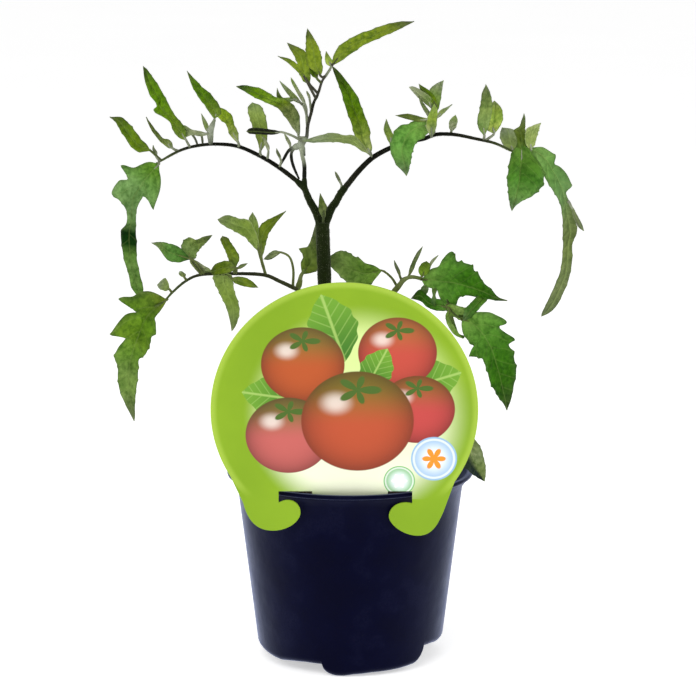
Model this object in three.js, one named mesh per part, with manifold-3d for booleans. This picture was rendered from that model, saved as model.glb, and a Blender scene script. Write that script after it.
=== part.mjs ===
// A young tomato plant in a round nursery pot, with a die-cut picture tag that hooks over the rim.
// Millimetres, +Z up. The origin is on the pot's axis at the flat underside of its feet, and the front,
// where the tag hangs, is at -Y.
import * as THREE from "three";
import { mergeVertices } from "three/addons/utils/BufferGeometryUtils.js";
import Module from "manifold-3d";

const wasm = await Module();
wasm.setup();

// The pot: a thin tapered wall with a flat flange, on three feet with raised gaps between them.
const POT_HEIGHT = 80;
const RIM_RADIUS = 52.5;
const FLANGE_THICKNESS = 1.8;
const FLANGE_EDGE = 0.4;
const FLANGE_ROOT = 1;
const OPENING_RADIUS = 49.6;
const WALL = 1.2;
const WALL_FOOT_RADIUS = 38.4;
const WALL_TAPER = 0.124;
const FLARE_START = 74;
const FOOT_CORNER = 3;
const POT_SEGMENTS = 48;
const HUB_RADIUS = 12;
const HUB_TOP = 20;
const FEET = [[-18, 52], [102, 172], [212, 264]];
const HIGH_GAP = 8.8;
const LOW_GAP = 5;
const LOW_GAP_SPAN = [264, 342];
const SLICE_LAP = 1;
const SLICE_HEIGHT = 40;
const DRAIN_RADIUS = 2.5;
const DRAINS_AT = 27;
const DRAINS = [[77, HIGH_GAP], [197, HIGH_GAP], [317, LOW_GAP]];

// The peat ball that fills the pot, and the clear gap between pieces that touch.
const SOIL_TOP = 70;
const SOIL_CROWN = 71.5;
const SOIL_EDGE = 3;
const SOIL_SHOULDER = [23, 71];
const CLEAR = 0.3;

// The tag: a round sheet whose foot has a tab that slips inside the rim and two hooks that stay outside.
const TAG_RADIUS = 54;
const TAG_CENTRE = [-2.3, 35.2];
const TAG_THICKNESS = 0.7;
const TAG_SLOT_LEFT = -29.1;
const TAG_SLOT_RIGHT = 25.3;
const SLOT_TOP = 1;
const TAB_HALF_WIDTH = 15.4;
const TAB_DEPTH = 4;
const TAG_SET_BACK = 46.5;
const TAG_LEAN = THREE.MathUtils.degToRad(7);

// Stems and blades.
const BLADE = 0.7;
const BLADE_FOLD = 0.25;
const STALK_RADIUS = [0.6, 0.42];
const ROOT_SNAP = 3;
const TRUNK_FOOT = 40;
const TRUNK_RADIUS = 2.7;
const FORK = [-11.5, 0, 185];
const SOCKET_REACH = 4.2;

// Solids.

function solidOf(geometry) {
  const bare = geometry.index ? geometry.toNonIndexed() : geometry.clone();
  bare.deleteAttribute("normal");
  bare.deleteAttribute("uv");
  const merged = mergeVertices(bare, 1e-4);
  const vertProperties = merged.attributes.position.array;
  const triVerts = new Uint32Array(merged.index.array);
  return new wasm.Manifold(new wasm.Mesh({ numProp: 3, vertProperties, triVerts }));
}

function geometryOf(solid) {
  const mesh = solid.getMesh();
  const geometry = new THREE.BufferGeometry();
  geometry.setAttribute("position", new THREE.BufferAttribute(new Float32Array(mesh.vertProperties), 3));
  geometry.setIndex(new THREE.BufferAttribute(new Uint32Array(mesh.triVerts), 1));
  const faceted = geometry.toNonIndexed();
  faceted.computeVertexNormals();
  return faceted;
}

function meshFrom(positions, index) {
  const geometry = new THREE.BufferGeometry();
  geometry.setAttribute("position", new THREE.Float32BufferAttribute(positions, 3));
  geometry.setIndex(index);
  return solidOf(geometry);
}

// Several solids as one. A hollow that the joining seals has a negative volume, and it is filled.
function fuse(solids) {
  const whole = solids.reduce((joined, solid) => joined.add(solid));
  const bodies = whole.decompose().filter((body) => body.volume() > 0);
  return bodies.reduce((joined, body) => joined.add(body));
}

// A profile of [radius, height] points, from the axis round to the axis, turned about +Z.
function turned(profile, segments = POT_SEGMENTS) {
  const points = profile.map(([radius, height]) => new THREE.Vector2(radius, height));
  return solidOf(new THREE.LatheGeometry(points, segments).rotateX(Math.PI / 2));
}

// A flat outline in X and Y, raised from one height to another.
function raised(shape, from, to) {
  const geometry = new THREE.ExtrudeGeometry(shape, { depth: to - from, bevelEnabled: false });
  return solidOf(geometry.translate(0, 0, from));
}

// A direction in plan, at an angle measured from the front towards +X.
function bearing(degrees, length) {
  const angle = THREE.MathUtils.degToRad(degrees);
  return new THREE.Vector2(Math.sin(angle) * length, -Math.cos(angle) * length);
}

// The pot.

const wallRadius = (height) => WALL_FOOT_RADIUS + WALL_TAPER * height;

// The corner between a floor and the wall, as a quarter circle, both moved inwards by the inset.
function cornerPoints(floor, inset) {
  const centre = [wallRadius(floor + FOOT_CORNER) - FOOT_CORNER, floor + FOOT_CORNER];
  const radius = FOOT_CORNER - inset;
  return [0, 45, 90].map((degrees) => {
    const angle = THREE.MathUtils.degToRad(degrees);
    return [centre[0] + radius * Math.sin(angle), centre[1] - radius * Math.cos(angle)];
  });
}

// A slice of plan between two bearings, its two sides moved inwards by the inset.
function sector([from, to], inset) {
  const reach = 90;
  const half = THREE.MathUtils.degToRad((to - from) / 2);
  const apex = bearing((from + to) / 2, inset / Math.sin(half));
  const corners = [from, (from + to) / 2, to].map((degrees) => apex.clone().add(bearing(degrees, reach)));
  return new THREE.Shape([apex, ...corners]);
}

// Everything inside the pot's outline moved inwards by the inset, up to the given upper profile: three feet
// and a hub on the ground, and the gaps between the feet raised.
function bowl(inset, upper) {
  const floorTo = (floor) => turned([[0, floor + inset], ...cornerPoints(floor, inset), ...upper]);
  const slice = (span, floor, sideInset) =>
    raised(sector(span, sideInset), -1, SLICE_HEIGHT).intersect(floorTo(floor));
  const hub = turned([[0, inset], [HUB_RADIUS - inset, inset], [HUB_RADIUS - inset, HUB_TOP], [0, HUB_TOP]]);
  return fuse([
    floorTo(HIGH_GAP),
    hub,
    ...FEET.map((span) => slice(span, 0, inset)),
    slice(LOW_GAP_SPAN, LOW_GAP, -inset - SLICE_LAP),
  ]);
}

function makePot() {
  const under = POT_HEIGHT - FLANGE_THICKNESS;
  const outer = bowl(0, [
    [wallRadius(FLARE_START), FLARE_START],
    [OPENING_RADIUS + FLANGE_ROOT, under],
    [RIM_RADIUS - FLANGE_EDGE, under],
    [RIM_RADIUS, under + FLANGE_EDGE],
    [RIM_RADIUS, POT_HEIGHT - FLANGE_EDGE],
    [RIM_RADIUS - FLANGE_EDGE, POT_HEIGHT],
    [0, POT_HEIGHT],
  ]);
  const inner = bowl(WALL, [
    [wallRadius(FLARE_START) - WALL, FLARE_START],
    [OPENING_RADIUS, under],
    [OPENING_RADIUS, POT_HEIGHT + 1],
    [0, POT_HEIGHT + 1],
  ]);
  const drains = DRAINS.map(([degrees, floor]) => {
    const at = bearing(degrees, DRAINS_AT);
    const top = floor + 2 * WALL;
    const profile = [[0, floor - 1], [DRAIN_RADIUS, floor - 1], [DRAIN_RADIUS, top], [0, top]];
    return turned(profile, 16).translate([at.x, at.y, 0]);
  });
  return outer.subtract(fuse([inner, ...drains]));
}

// The peat, with a plain hole for the stem.
function makeSoil() {
  const inset = WALL + CLEAR;
  const ball = bowl(inset, [
    [wallRadius(SOIL_TOP) - inset, SOIL_TOP - SOIL_EDGE / 2],
    [wallRadius(SOIL_TOP) - inset - SOIL_EDGE, SOIL_TOP],
    SOIL_SHOULDER,
    [0, SOIL_CROWN],
  ]);
  const bore = TRUNK_RADIUS + CLEAR;
  const foot = TRUNK_FOOT - CLEAR;
  const hole = turned([[0, foot], [bore, foot], [bore, POT_HEIGHT], [0, POT_HEIGHT]], 24);
  return ball.subtract(hole.translate([TRUNK.path[0][0], TRUNK.path[0][1], 0]));
}

// The tag's outline in its own plane: x along the rim from the pot's axis, y up the sheet from the rim.
function tagOutline() {
  const [cx, cy] = TAG_CENTRE;
  const leftShoulder = THREE.MathUtils.degToRad(-149);
  const rightShoulder = THREE.MathUtils.degToRad(-34);
  const shape = new THREE.Shape();
  shape.moveTo(TAG_SLOT_RIGHT, SLOT_TOP);
  shape.lineTo(TAG_SLOT_RIGHT, -4.2);
  shape.bezierCurveTo(20.5, -2.8, 16.4, -5.2, 15.8, -9.2);
  shape.bezierCurveTo(15.4, -13.4, 22, -18.3, 27.6, -18.3);
  shape.bezierCurveTo(33, -18.3, 35.4, -14.8, 38.2, -7.5);
  shape.absarc(cx, cy, TAG_RADIUS, rightShoulder, leftShoulder, false);
  shape.lineTo(-43.6, -4);
  shape.bezierCurveTo(-41.8, -11.6, -38.4, -16.1, -31.4, -16.1);
  shape.bezierCurveTo(-25.4, -16.1, -20.2, -12, -20.2, -8.2);
  shape.bezierCurveTo(-20.2, -3.6, -24.6, -1.2, TAG_SLOT_LEFT, -3.9);
  shape.lineTo(TAG_SLOT_LEFT, SLOT_TOP);
  shape.lineTo(-TAB_HALF_WIDTH, SLOT_TOP);
  shape.lineTo(-TAB_HALF_WIDTH, 0);
  shape.lineTo(-14.2, -1.8);
  shape.lineTo(-9.5, -TAB_DEPTH);
  shape.lineTo(9.5, -TAB_DEPTH);
  shape.lineTo(14.2, -1.8);
  shape.lineTo(TAB_HALF_WIDTH, 0);
  shape.lineTo(TAB_HALF_WIDTH, SLOT_TOP);
  return shape;
}

function makeTag() {
  const settings = { depth: TAG_THICKNESS, bevelEnabled: false, curveSegments: 12 };
  return solidOf(new THREE.ExtrudeGeometry(tagOutline(), settings).translate(0, 0, -TAG_THICKNESS / 2));
}

// Stems.

// A round stem along a smooth path, thinning evenly from its first radius to its last.
function stem(path, [firstRadius, lastRadius], sides = 6, stepsPerSpan = 2) {
  const curve = new THREE.CatmullRomCurve3(path.map((point) => new THREE.Vector3(...point)));
  const steps = path.length === 2 ? 1 : (path.length - 1) * stepsPerSpan;
  const frames = curve.computeFrenetFrames(steps);
  const positions = [];
  const index = [];
  for (let i = 0; i <= steps; i += 1) {
    const centre = curve.getPointAt(i / steps);
    const radius = THREE.MathUtils.lerp(firstRadius, lastRadius, i / steps);
    for (let j = 0; j < sides; j += 1) {
      const angle = (2 * Math.PI * j) / sides;
      const point = centre.clone();
      point.addScaledVector(frames.normals[i], radius * Math.cos(angle));
      point.addScaledVector(frames.binormals[i], radius * Math.sin(angle));
      positions.push(...point);
    }
  }
  for (let i = 0; i < steps; i += 1) {
    for (let j = 0; j < sides; j += 1) {
      const a = i * sides + j;
      const b = i * sides + ((j + 1) % sides);
      index.push(a, b, b + sides, a, b + sides, a + sides);
    }
  }
  const last = steps * sides;
  for (let j = 1; j < sides - 1; j += 1) {
    index.push(0, j + 1, j);
    index.push(last, last + j, last + j + 1);
  }
  return meshFrom(positions, index);
}

// Where a leaf stalk meets the stem: a short swelling out of the stem, and the first points of the leaf
// stalk, a clear gap beyond the swelling's flat end.
function socket(axisPoint, towards, reach) {
  const from = new THREE.Vector3(...axisPoint);
  const along = new THREE.Vector3(...towards).sub(from).normalize();
  const at = (distance) => from.clone().addScaledVector(along, distance).toArray();
  return { swelling: [at(0), at(reach)], start: [at(reach + CLEAR), at(reach + CLEAR + 1.5)] };
}

const SOCKETS = {
  upperLeft: socket([-19, 1, 199.5], [-25, 3, 204.5], 3),
  lowerLeft: socket([-11, 0, 150], [-17.5, -4, 155.5], SOCKET_REACH),
  lowerRight: socket([-11, 0, 130.5], [-2, 1, 138], SOCKET_REACH),
  behindTag: socket([-11, 0, 96], [-1, -3, 104], SOCKET_REACH),
  upperRight: socket([-4, -0.7, 198], [1, -2, 204.5], 3.5),
  shoot: socket([-19, 1, 199.5], [-19, 1, 205], 2),
};

// Leaf blades.

const mix = (a, b, t) => a + (b - a) * t;

// A blade between two edges, a and b, that run from its base to its tip as [x, z] points. Its rib lies half
// way between them unless its own points are given. The depth y runs evenly from the base to the tip. The
// blade is turned about its rib by its turn, which takes edge b further back, and both halves fold forwards
// from the rib. The two faces are split alike.
function blade(leaf) {
  const count = leaf.a.length;
  const slope = Math.tan(THREE.MathUtils.degToRad(leaf.turn));
  const rows = leaf.a.map((a, i) => {
    const b = leaf.b[i];
    const rib = leaf.rib ? leaf.rib[i] : [(a[0] + b[0]) / 2, (a[1] + b[1]) / 2];
    const depth = mix(leaf.base[1], leaf.tip[1], (i + 1) / (count + 1));
    const halfA = Math.hypot(a[0] - rib[0], a[1] - rib[1]);
    const halfB = Math.hypot(b[0] - rib[0], b[1] - rib[1]);
    return [
      new THREE.Vector3(a[0], depth - halfA * slope, a[1]),
      new THREE.Vector3(rib[0], depth + (BLADE_FOLD * (halfA + halfB)) / 2, rib[1]),
      new THREE.Vector3(b[0], depth + halfB * slope, b[1]),
    ];
  });
  const base = new THREE.Vector3(...leaf.base);
  const tip = new THREE.Vector3(...leaf.tip);
  const ribs = [base, ...rows.map((row) => row[1]), tip];
  const outward = rows.map((row, i) => {
    const along = ribs[i + 2].clone().sub(ribs[i]);
    const across = row[2].clone().sub(row[0]);
    const normal = along.cross(across).normalize();
    return normal.y > 0 ? normal.negate() : normal;
  });
  const corners = [base, ...rows.flat(), tip];
  const normals = [outward[0], ...outward.flatMap((n) => [n, n, n]), outward[count - 1]];
  const positions = [BLADE / 2, -BLADE / 2].flatMap((offset) =>
    corners.flatMap((corner, i) => corner.clone().addScaledVector(normals[i], offset).toArray()),
  );
  const back = corners.length;
  const end = back - 1;
  const front = [[0, 1, 2], [0, 2, 3]];
  for (let i = 0; i < count - 1; i += 1) {
    const row = 1 + 3 * i;
    front.push([row, row + 3, row + 4], [row, row + 4, row + 1]);
    front.push([row + 1, row + 4, row + 5], [row + 1, row + 5, row + 2]);
  }
  front.push([end - 3, end, end - 2], [end - 2, end, end - 1]);
  const rim = [0];
  for (let i = 0; i < count; i += 1) rim.push(1 + 3 * i);
  rim.push(end);
  for (let i = count - 1; i >= 0; i -= 1) rim.push(3 + 3 * i);
  const index = front.flatMap(([p, q, r]) => [p, q, r, back + p, back + r, back + q]);
  rim.forEach((p, i) => {
    const q = rim[(i + 1) % rim.length];
    index.push(p, back + p, back + q, p, back + q, q);
  });
  const [p, q, r] = front[0].map((i) => new THREE.Vector3().fromArray(positions, 3 * i));
  const facing = q.sub(p).cross(r.sub(p)).dot(outward[0]);
  if (facing < 0) index.reverse();
  return meshFrom(positions, index);
}

// The nearest point of a rib to a stalk's root, when the root is close to it.
function rootOn(curve, root) {
  const from = new THREE.Vector3(...root);
  const nearer = (best, spot) => (spot.distanceTo(from) < best.distanceTo(from) ? spot : best);
  const nearest = curve.getSpacedPoints(240).reduce(nearer);
  return nearest.distanceTo(from) < ROOT_SNAP ? nearest.toArray() : root;
}

// A leaflet's stalk, from the rib to the blade's base and on along the blade's own rib.
function stalk(leaf, curve) {
  const row = Math.min(1, leaf.a.length - 1);
  const [a, b] = [leaf.a[row], leaf.b[row]];
  const [x, z] = leaf.rib ? leaf.rib[row] : [(a[0] + b[0]) / 2, (a[1] + b[1]) / 2];
  const y = mix(leaf.base[1], leaf.tip[1], (row + 1) / (leaf.a.length + 1));
  const [root, ...between] = leaf.stalk ?? [leaf.base];
  const apart = (p, q) => new THREE.Vector3(...p).distanceTo(new THREE.Vector3(...q)) > 0.2;
  const path = [rootOn(curve, root), ...between, leaf.base, [x, y, z]];
  return stem(path.filter((point, i) => i === 0 || apart(point, path[i - 1])), STALK_RADIUS, 4, 1);
}

// A compound leaf or leafy shoot: its rib, and its leaflets on their own short stalks, fused in one.
function frond({ rib, radii, leaflets }) {
  const curve = new THREE.CatmullRomCurve3(rib.map((point) => new THREE.Vector3(...point)));
  return fuse([stem(rib, radii, 6, 1), ...leaflets.flatMap((leaf) => [blade(leaf), stalk(leaf, curve)])]);
}

// The leaves of the upper left.
const UPPER_LEFT = {
  rib: [
    ...SOCKETS.upperLeft.start,
    [-29.5, 5, 208], [-36.5, 7, 212], [-46, 10, 215.5], [-54.5, 12, 216.5], [-63, 12, 216], [-71, 11, 214],
    [-79.5, 10, 209.5], [-83, 9.5, 207.5],
  ],
  radii: [1.05, 0.55],
  leaflets: [
    { stalk: [[-79, 11, 210]], base: [-83.5, 10, 214], tip: [-99.5, 0, 229], turn: 35,
      a: [[-85, 217], [-87.5, 220], [-90.5, 224.5], [-94.5, 228.5]],
      b: [[-86, 213.5], [-90, 214], [-94.5, 220.5], [-97.5, 226.5]] },
    { stalk: [[-72, 11, 213.5]], base: [-74, 12, 214.5], tip: [-86, 22, 227], turn: 55,
      a: [[-75.5, 218], [-78.5, 218.5], [-82, 222]],
      b: [[-77, 214.5], [-80.5, 217.5], [-84, 222]] },
    { stalk: [[-67, 12, 215]], base: [-68.5, 9, 218.5], tip: [-85, -6, 250.5], turn: 25,
      a: [[-68.5, 223.5], [-70.5, 226.5], [-73, 230], [-75.5, 235], [-77.5, 239.5], [-80.5, 244.5],
        [-83, 248.5]],
      b: [[-71.5, 219.5], [-74, 223], [-75, 226.5], [-81.5, 231], [-80, 233.5], [-82.5, 237.5],
        [-84.5, 244]] },
    { stalk: [[-60, 12, 216.5]], base: [-60, 10, 222], tip: [-62.5, 18, 228.5], turn: 35,
      a: [[-59, 225], [-61, 227]],
      b: [[-61.5, 224], [-62.5, 226.5]] },
    { stalk: [[-58, 12, 216.5], [-58, 11, 223]], base: [-56.5, 9, 227.5], tip: [-67, -6, 248.5], turn: 35,
      a: [[-53.5, 230.5], [-56.5, 237], [-60.5, 241], [-63.5, 244.5]],
      b: [[-58, 229], [-60, 232.5], [-62.5, 236.5], [-65, 241.5]] },
    { stalk: [[-47, 10, 215.5]], base: [-47.5, 9, 217.5], tip: [-56.5, 21, 231.5], turn: 30,
      a: [[-47, 222], [-48.5, 224.5], [-49.5, 228], [-52.5, 230.5]],
      b: [[-50.5, 220.5], [-52, 224.5], [-54.5, 226], [-57, 229]] },
    { stalk: [[-36.5, 7, 212]], base: [-37.5, 7, 213.5], tip: [-41, 17, 233.5], turn: 20,
      a: [[-35, 218], [-34.5, 223], [-35.5, 228.5], [-37.5, 232.5]],
      b: [[-38.5, 217], [-40.5, 222.5], [-42.5, 228], [-43, 231.5]] },
    { stalk: [[-34, 7, 211]], base: [-34, 5, 214], tip: [-36.5, 1, 221], turn: 40,
      a: [[-33.5, 216], [-35, 219.5]],
      b: [[-35, 216], [-36, 219]] },
    { stalk: [[-29, 5, 208]], base: [-28.5, 3, 210.5], tip: [-30.5, -3, 216.5], turn: 30,
      a: [[-28, 212.5], [-29.5, 215]],
      b: [[-29.5, 212], [-30.5, 214.5]] },
    { base: [-79.5, 9, 209.5], tip: [-88, 3, 152.5], turn: 20,
      a: [[-85, 208.5], [-95, 207.5], [-92.5, 202], [-96.5, 200.5], [-99, 196.5], [-96.5, 194.5],
        [-93.5, 190], [-93.5, 184], [-96, 179.5], [-95.5, 173], [-93.5, 164.5], [-92, 158.5]],
      b: [[-80, 206.5], [-79, 202.5], [-79.5, 197.5], [-80.5, 194], [-81.5, 189.5], [-85.5, 193.5],
        [-88, 192.5], [-89.5, 185.5], [-89.5, 177.5], [-89.5, 172], [-88, 164.5], [-86.5, 156.5]],
      rib: [[-83, 207.5], [-85.5, 205], [-86.5, 202.5], [-87.5, 200.5], [-88, 198], [-89, 195.5],
        [-90.5, 191], [-91.5, 185], [-92.5, 178.5], [-92, 172.5], [-90.5, 164.5], [-89, 157.5]] },
  ],
};

// The leaves of the upper right.
const UPPER_RIGHT = {
  rib: [
    ...SOCKETS.upperRight.start,
    [3.5, -3, 208], [9, -5, 213], [15.5, -8, 216.5], [22.5, -9.5, 219.5], [30, -11, 221], [35.5, -12, 223],
    [43, -13, 223], [51, -14, 221.5], [59.5, -14, 219.5], [67, -14, 216], [71, -14, 214],
  ],
  radii: [1.3, 0.55],
  leaflets: [
    { stalk: [[8.5, -5, 213]], base: [7.5, -4, 219.5], tip: [-7.5, 9, 249.5], turn: 15,
      a: [[8.5, 223.5], [6, 228.5], [4, 234.5], [2.5, 238], [-2, 244], [-5, 247.5]],
      b: [[4.5, 221], [1, 223.5], [-1.5, 231.5], [-3.5, 237.5], [-5, 242.5], [-6.5, 246.5]] },
    { stalk: [[9, -5, 213]], base: [8, -7, 214.5], tip: [-19.5, -14, 220.5], turn: 35,
      a: [[5.5, 218], [2, 222], [-2, 222.5], [-8, 223.5], [-14.5, 222]],
      b: [[5, 215.5], [1, 218], [-2.5, 219], [-8, 219.5], [-15, 219.5]] },
    { stalk: [[17, -8, 216.5]], base: [17, -8, 218], tip: [15, -3, 228.5], turn: 30,
      a: [[15.5, 220.5], [14, 224.5]],
      b: [[18, 221.5], [16.5, 225]] },
    { stalk: [[34.5, -11, 222.5]], base: [33, -13, 225.5], tip: [23, -22, 207], turn: 15,
      a: [[29, 228.5], [24, 228], [20.5, 227], [17.5, 223], [16.5, 218], [18.5, 212], [21, 209.5]],
      b: [[32.5, 223.5], [30.5, 222], [27.5, 220], [26, 217], [25.5, 214.5], [24.5, 211], [24, 209]],
      rib: [[30.5, 226], [26.5, 225.5], [23.5, 223.5], [22, 220.5], [21, 216.5], [22, 212], [22.5, 209.5]] },
    { stalk: [[34, -11, 222.5], [34, -12, 226]], base: [32.5, -13, 229], tip: [18.5, -20, 231.5], turn: 35,
      a: [[29, 231.5], [23.5, 232]],
      b: [[29, 229], [23.5, 230]] },
    { stalk: [[34.5, -11, 222.5], [34.5, -12, 227.5]], base: [35, -12, 232], tip: [38.5, -4, 244.5], turn: 20,
      a: [[32.5, 236.5], [32.5, 240.5], [35, 243]],
      b: [[36.5, 233.5], [37.5, 237.5], [38, 241.5]] },
    { stalk: [[35, -12, 231.5]], base: [34, -12, 233], tip: [24, -20, 243], turn: 25,
      a: [[33, 238], [29.5, 241], [26, 243]],
      b: [[31.5, 235], [28, 238], [25, 241.5]] },
    { stalk: [[35, -12, 231.5]], base: [33, -11, 235.5], tip: [28.5, -9, 243.5], turn: 30,
      a: [[32.5, 238.5], [30.5, 242]],
      b: [[30.5, 237.5], [28, 240.5]] },
    { stalk: [[34.5, -12, 227.5]], base: [32.5, -12, 229.5], tip: [28.5, -16, 237.5], turn: 35,
      a: [[32, 232.5], [30, 235.5]],
      b: [[30.5, 232.5], [28.5, 235]] },
    { stalk: [[34.5, -12, 227.5]], base: [36, -11, 229.5], tip: [42, -5, 234.5], turn: 35,
      a: [[37, 232], [39.5, 234]],
      b: [[38, 230], [41, 232.5]] },
    { stalk: [[41.5, -12, 222.5]], base: [41.5, -12, 224], tip: [43, -18, 231.5], turn: 40,
      a: [[40.5, 226.5], [41, 229.5]],
      b: [[43.5, 226], [44, 229]] },
    { stalk: [[54.5, -14, 221]], base: [55, -14, 222.5], tip: [55, -24, 244.5], turn: 25,
      a: [[52.5, 226], [52, 230], [53, 235.5], [53.5, 240.5]],
      b: [[56.5, 226], [57.5, 230], [58, 235.5], [57, 240.5]] },
    { stalk: [[55.5, -14, 220.5]], base: [56.5, -14, 223], tip: [62, -4, 235.5], turn: 20,
      a: [[57, 227], [57.5, 231.5], [59, 234.5]],
      b: [[60.5, 224.5], [62.5, 227.5], [64, 232]] },
    { stalk: [[61.5, -14, 219]], base: [63, -12, 220], tip: [62.5, -4, 225], turn: 30,
      a: [[61.5, 221.5], [61.5, 223.5]],
      b: [[66.5, 219.5], [66.5, 223.5]] },
    { stalk: [[66.5, -14, 216.5], [68.5, -13, 220.5]], base: [70, -14, 224.5],
      tip: [71.5, -10, 231], turn: 25,
      a: [[69, 226.5], [70, 229.5]],
      b: [[72.5, 226], [72.5, 229]] },
    { stalk: [[66.5, -14, 216.5], [69, -14, 217]], base: [72.5, -15, 219], tip: [77, -24, 228.5], turn: 25,
      a: [[71, 222.5], [73, 227]],
      b: [[75.5, 220], [77.5, 225]] },
    { stalk: [[67, -14, 216]], base: [69, -16, 214], tip: [66, -26, 193], turn: 15,
      a: [[65.5, 212], [64.5, 206.5], [64.5, 200.5], [65, 196]],
      b: [[75, 209], [76.5, 201.5], [72.5, 198], [68.5, 195.5]] },
    { base: [67, -14, 216], tip: [78.5, -22, 149], turn: 15,
      a: [[68, 211], [72.5, 206], [76, 203], [80, 203.5], [83, 200], [85, 197], [86, 193.5], [87, 188.5],
        [87.5, 181], [86, 171.5], [83.5, 160], [80, 153]],
      b: [[76, 218.5], [83, 216], [84.5, 212.5], [88.5, 208], [91, 202], [88.5, 200], [92.5, 191.5],
        [96.5, 184], [90.5, 181], [91, 171], [88.5, 161], [84.5, 152.5]],
      rib: [[71.5, 214], [76.5, 210.5], [80.5, 208], [83.5, 205.5], [87, 202], [87, 198.5], [89, 193],
        [90, 187.5], [89, 181], [88.5, 171.5], [86, 160], [82, 152.5]] },
  ],
};

// The leaves of the lower left.
const LOWER_LEFT = {
  rib: [
    ...SOCKETS.lowerLeft.start,
    [-22, -8, 158], [-29, -12, 162], [-35.5, -14, 165], [-47, -17, 166], [-61, -20, 166],
    [-67.5, -21, 163.5], [-73, -23, 159], [-76.5, -26, 155.5], [-80, -27, 154],
  ],
  radii: [1.0, 0.5],
  leaflets: [
    { stalk: [[-61, -20, 166], [-65, -21, 171]], base: [-67, -22, 173.5], tip: [-80.5, -33, 181], turn: 20,
      a: [[-69.5, 178], [-73.5, 180], [-77, 181]],
      b: [[-70.5, 171.5], [-74.5, 173], [-78, 178.5]] },
    { stalk: [[-60.5, -20, 166], [-63.5, -21, 171.5]], base: [-66, -21, 174], tip: [-57, -12, 181], turn: 20,
      a: [[-68, 178.5], [-65, 181.5], [-60.5, 181.5]],
      b: [[-64, 172.5], [-62, 175.5], [-59, 179.5]] },
    { stalk: [[-47.5, -17, 166]], base: [-48, -18, 167.5], tip: [-52, -27, 183], turn: 25,
      a: [[-46.5, 170], [-45.5, 174], [-48.5, 179.5], [-50, 182]],
      b: [[-49.5, 170], [-50.5, 174], [-52, 178], [-53, 181]] },
    { stalk: [[-44, -16, 165.5], [-45, -16, 168]], base: [-47, -17, 169], tip: [-57, -8, 167.5], turn: 30,
      a: [[-49.5, 171], [-53.5, 170]],
      b: [[-49.5, 167], [-53.5, 166.5]] },
    { stalk: [[-52.5, -18, 165.5]], base: [-52, -20, 165], tip: [-49, -15, 141.5], turn: 15,
      a: [[-56, 164], [-55, 161], [-53, 156], [-51, 151.5], [-49.5, 145.5]],
      b: [[-49, 163], [-48, 159], [-46, 154.5], [-45.5, 150], [-47, 144.5]] },
    { stalk: [[-50.5, -17, 165.5]], base: [-49, -18, 164.5], tip: [-37.5, -27, 162], turn: 25,
      a: [[-45.5, 165.5], [-42, 165.5], [-39.5, 164]],
      b: [[-47.5, 162], [-44.5, 161], [-40.5, 161]] },
    { stalk: [[-35, -14, 164.5], [-36, -14, 169.5]], base: [-37.5, -14, 174.5],
      tip: [-54, -25, 189.5], turn: 20,
      a: [[-38, 181], [-41, 188], [-46, 189.5], [-50, 191]],
      b: [[-40.5, 177.5], [-43.5, 181], [-48, 184], [-52.5, 187]] },
    { stalk: [[-35, -14, 164.5], [-36, -14, 169.5]], base: [-37, -14, 174],
      tip: [-26.5, -5, 190.5], turn: 20,
      a: [[-39, 179.5], [-37.5, 184.5], [-34.5, 187], [-30, 189]],
      b: [[-35, 176], [-34, 180], [-32.5, 183], [-29.5, 187]] },
    { stalk: [[-35, -14, 164.5], [-36.5, -14, 170.5]], base: [-38.5, -15, 178.5],
      tip: [-40, -17, 191.5], turn: 20,
      a: [[-41.5, 183.5], [-41.5, 188.5]],
      b: [[-37.5, 183], [-38, 187.5]] },
    { stalk: [[-23.5, -9, 159], [-23.5, -10, 166.5], [-25, -11, 172]], base: [-28.5, -11, 174],
      tip: [-36, -3, 170], turn: 25,
      a: [[-31, 174.5], [-33.5, 173]],
      b: [[-30.5, 172], [-33.5, 170]] },
    { stalk: [[-22, -8, 158], [-21.5, -2, 160]], base: [-20, 1, 163], tip: [-14.5, 9, 183], turn: 15,
      a: [[-20.5, 167.5], [-19.5, 170.5], [-21, 173.5], [-18, 174], [-16.5, 176.5]],
      b: [[-17, 164.5], [-13.5, 166.5], [-11.5, 170], [-12, 174], [-12.5, 178.5]] },
    { stalk: [[-73, -23, 159]], base: [-74, -24, 160.5], tip: [-78.5, -32, 163.5], turn: 30,
      a: [[-74, 163.5], [-75.5, 166]],
      b: [[-75.5, 160], [-77.5, 161]] },
    { stalk: [[-67, -21, 164]], base: [-68, -21, 165], tip: [-70, -17, 167], turn: 30,
      a: [[-69.5, 165.5], [-70.5, 166.5]],
      b: [[-67.5, 166], [-69, 167]] },
    { base: [-76, -26, 157], tip: [-89, -33, 107.5], turn: 15,
      a: [[-81.5, 159.5], [-88, 158.5], [-93, 157], [-86, 152.5], [-92, 151.5], [-97, 143], [-91, 141.5],
        [-95, 137], [-95.5, 132.5], [-95, 123], [-92, 114.5]],
      b: [[-76, 154.5], [-77, 153], [-78, 151.5], [-79.5, 150], [-80, 148.5], [-79, 144.5], [-81, 140.5],
        [-83, 134.5], [-86, 132.5], [-87, 125.5], [-87.5, 116.5]],
      rib: [[-79, 155.5], [-80, 154], [-81.5, 153], [-82, 151.5], [-83, 149.5], [-84, 146], [-86, 142],
        [-88.5, 136.5], [-90, 131.5], [-90.5, 124], [-89.5, 115]] },
  ],
};

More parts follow.
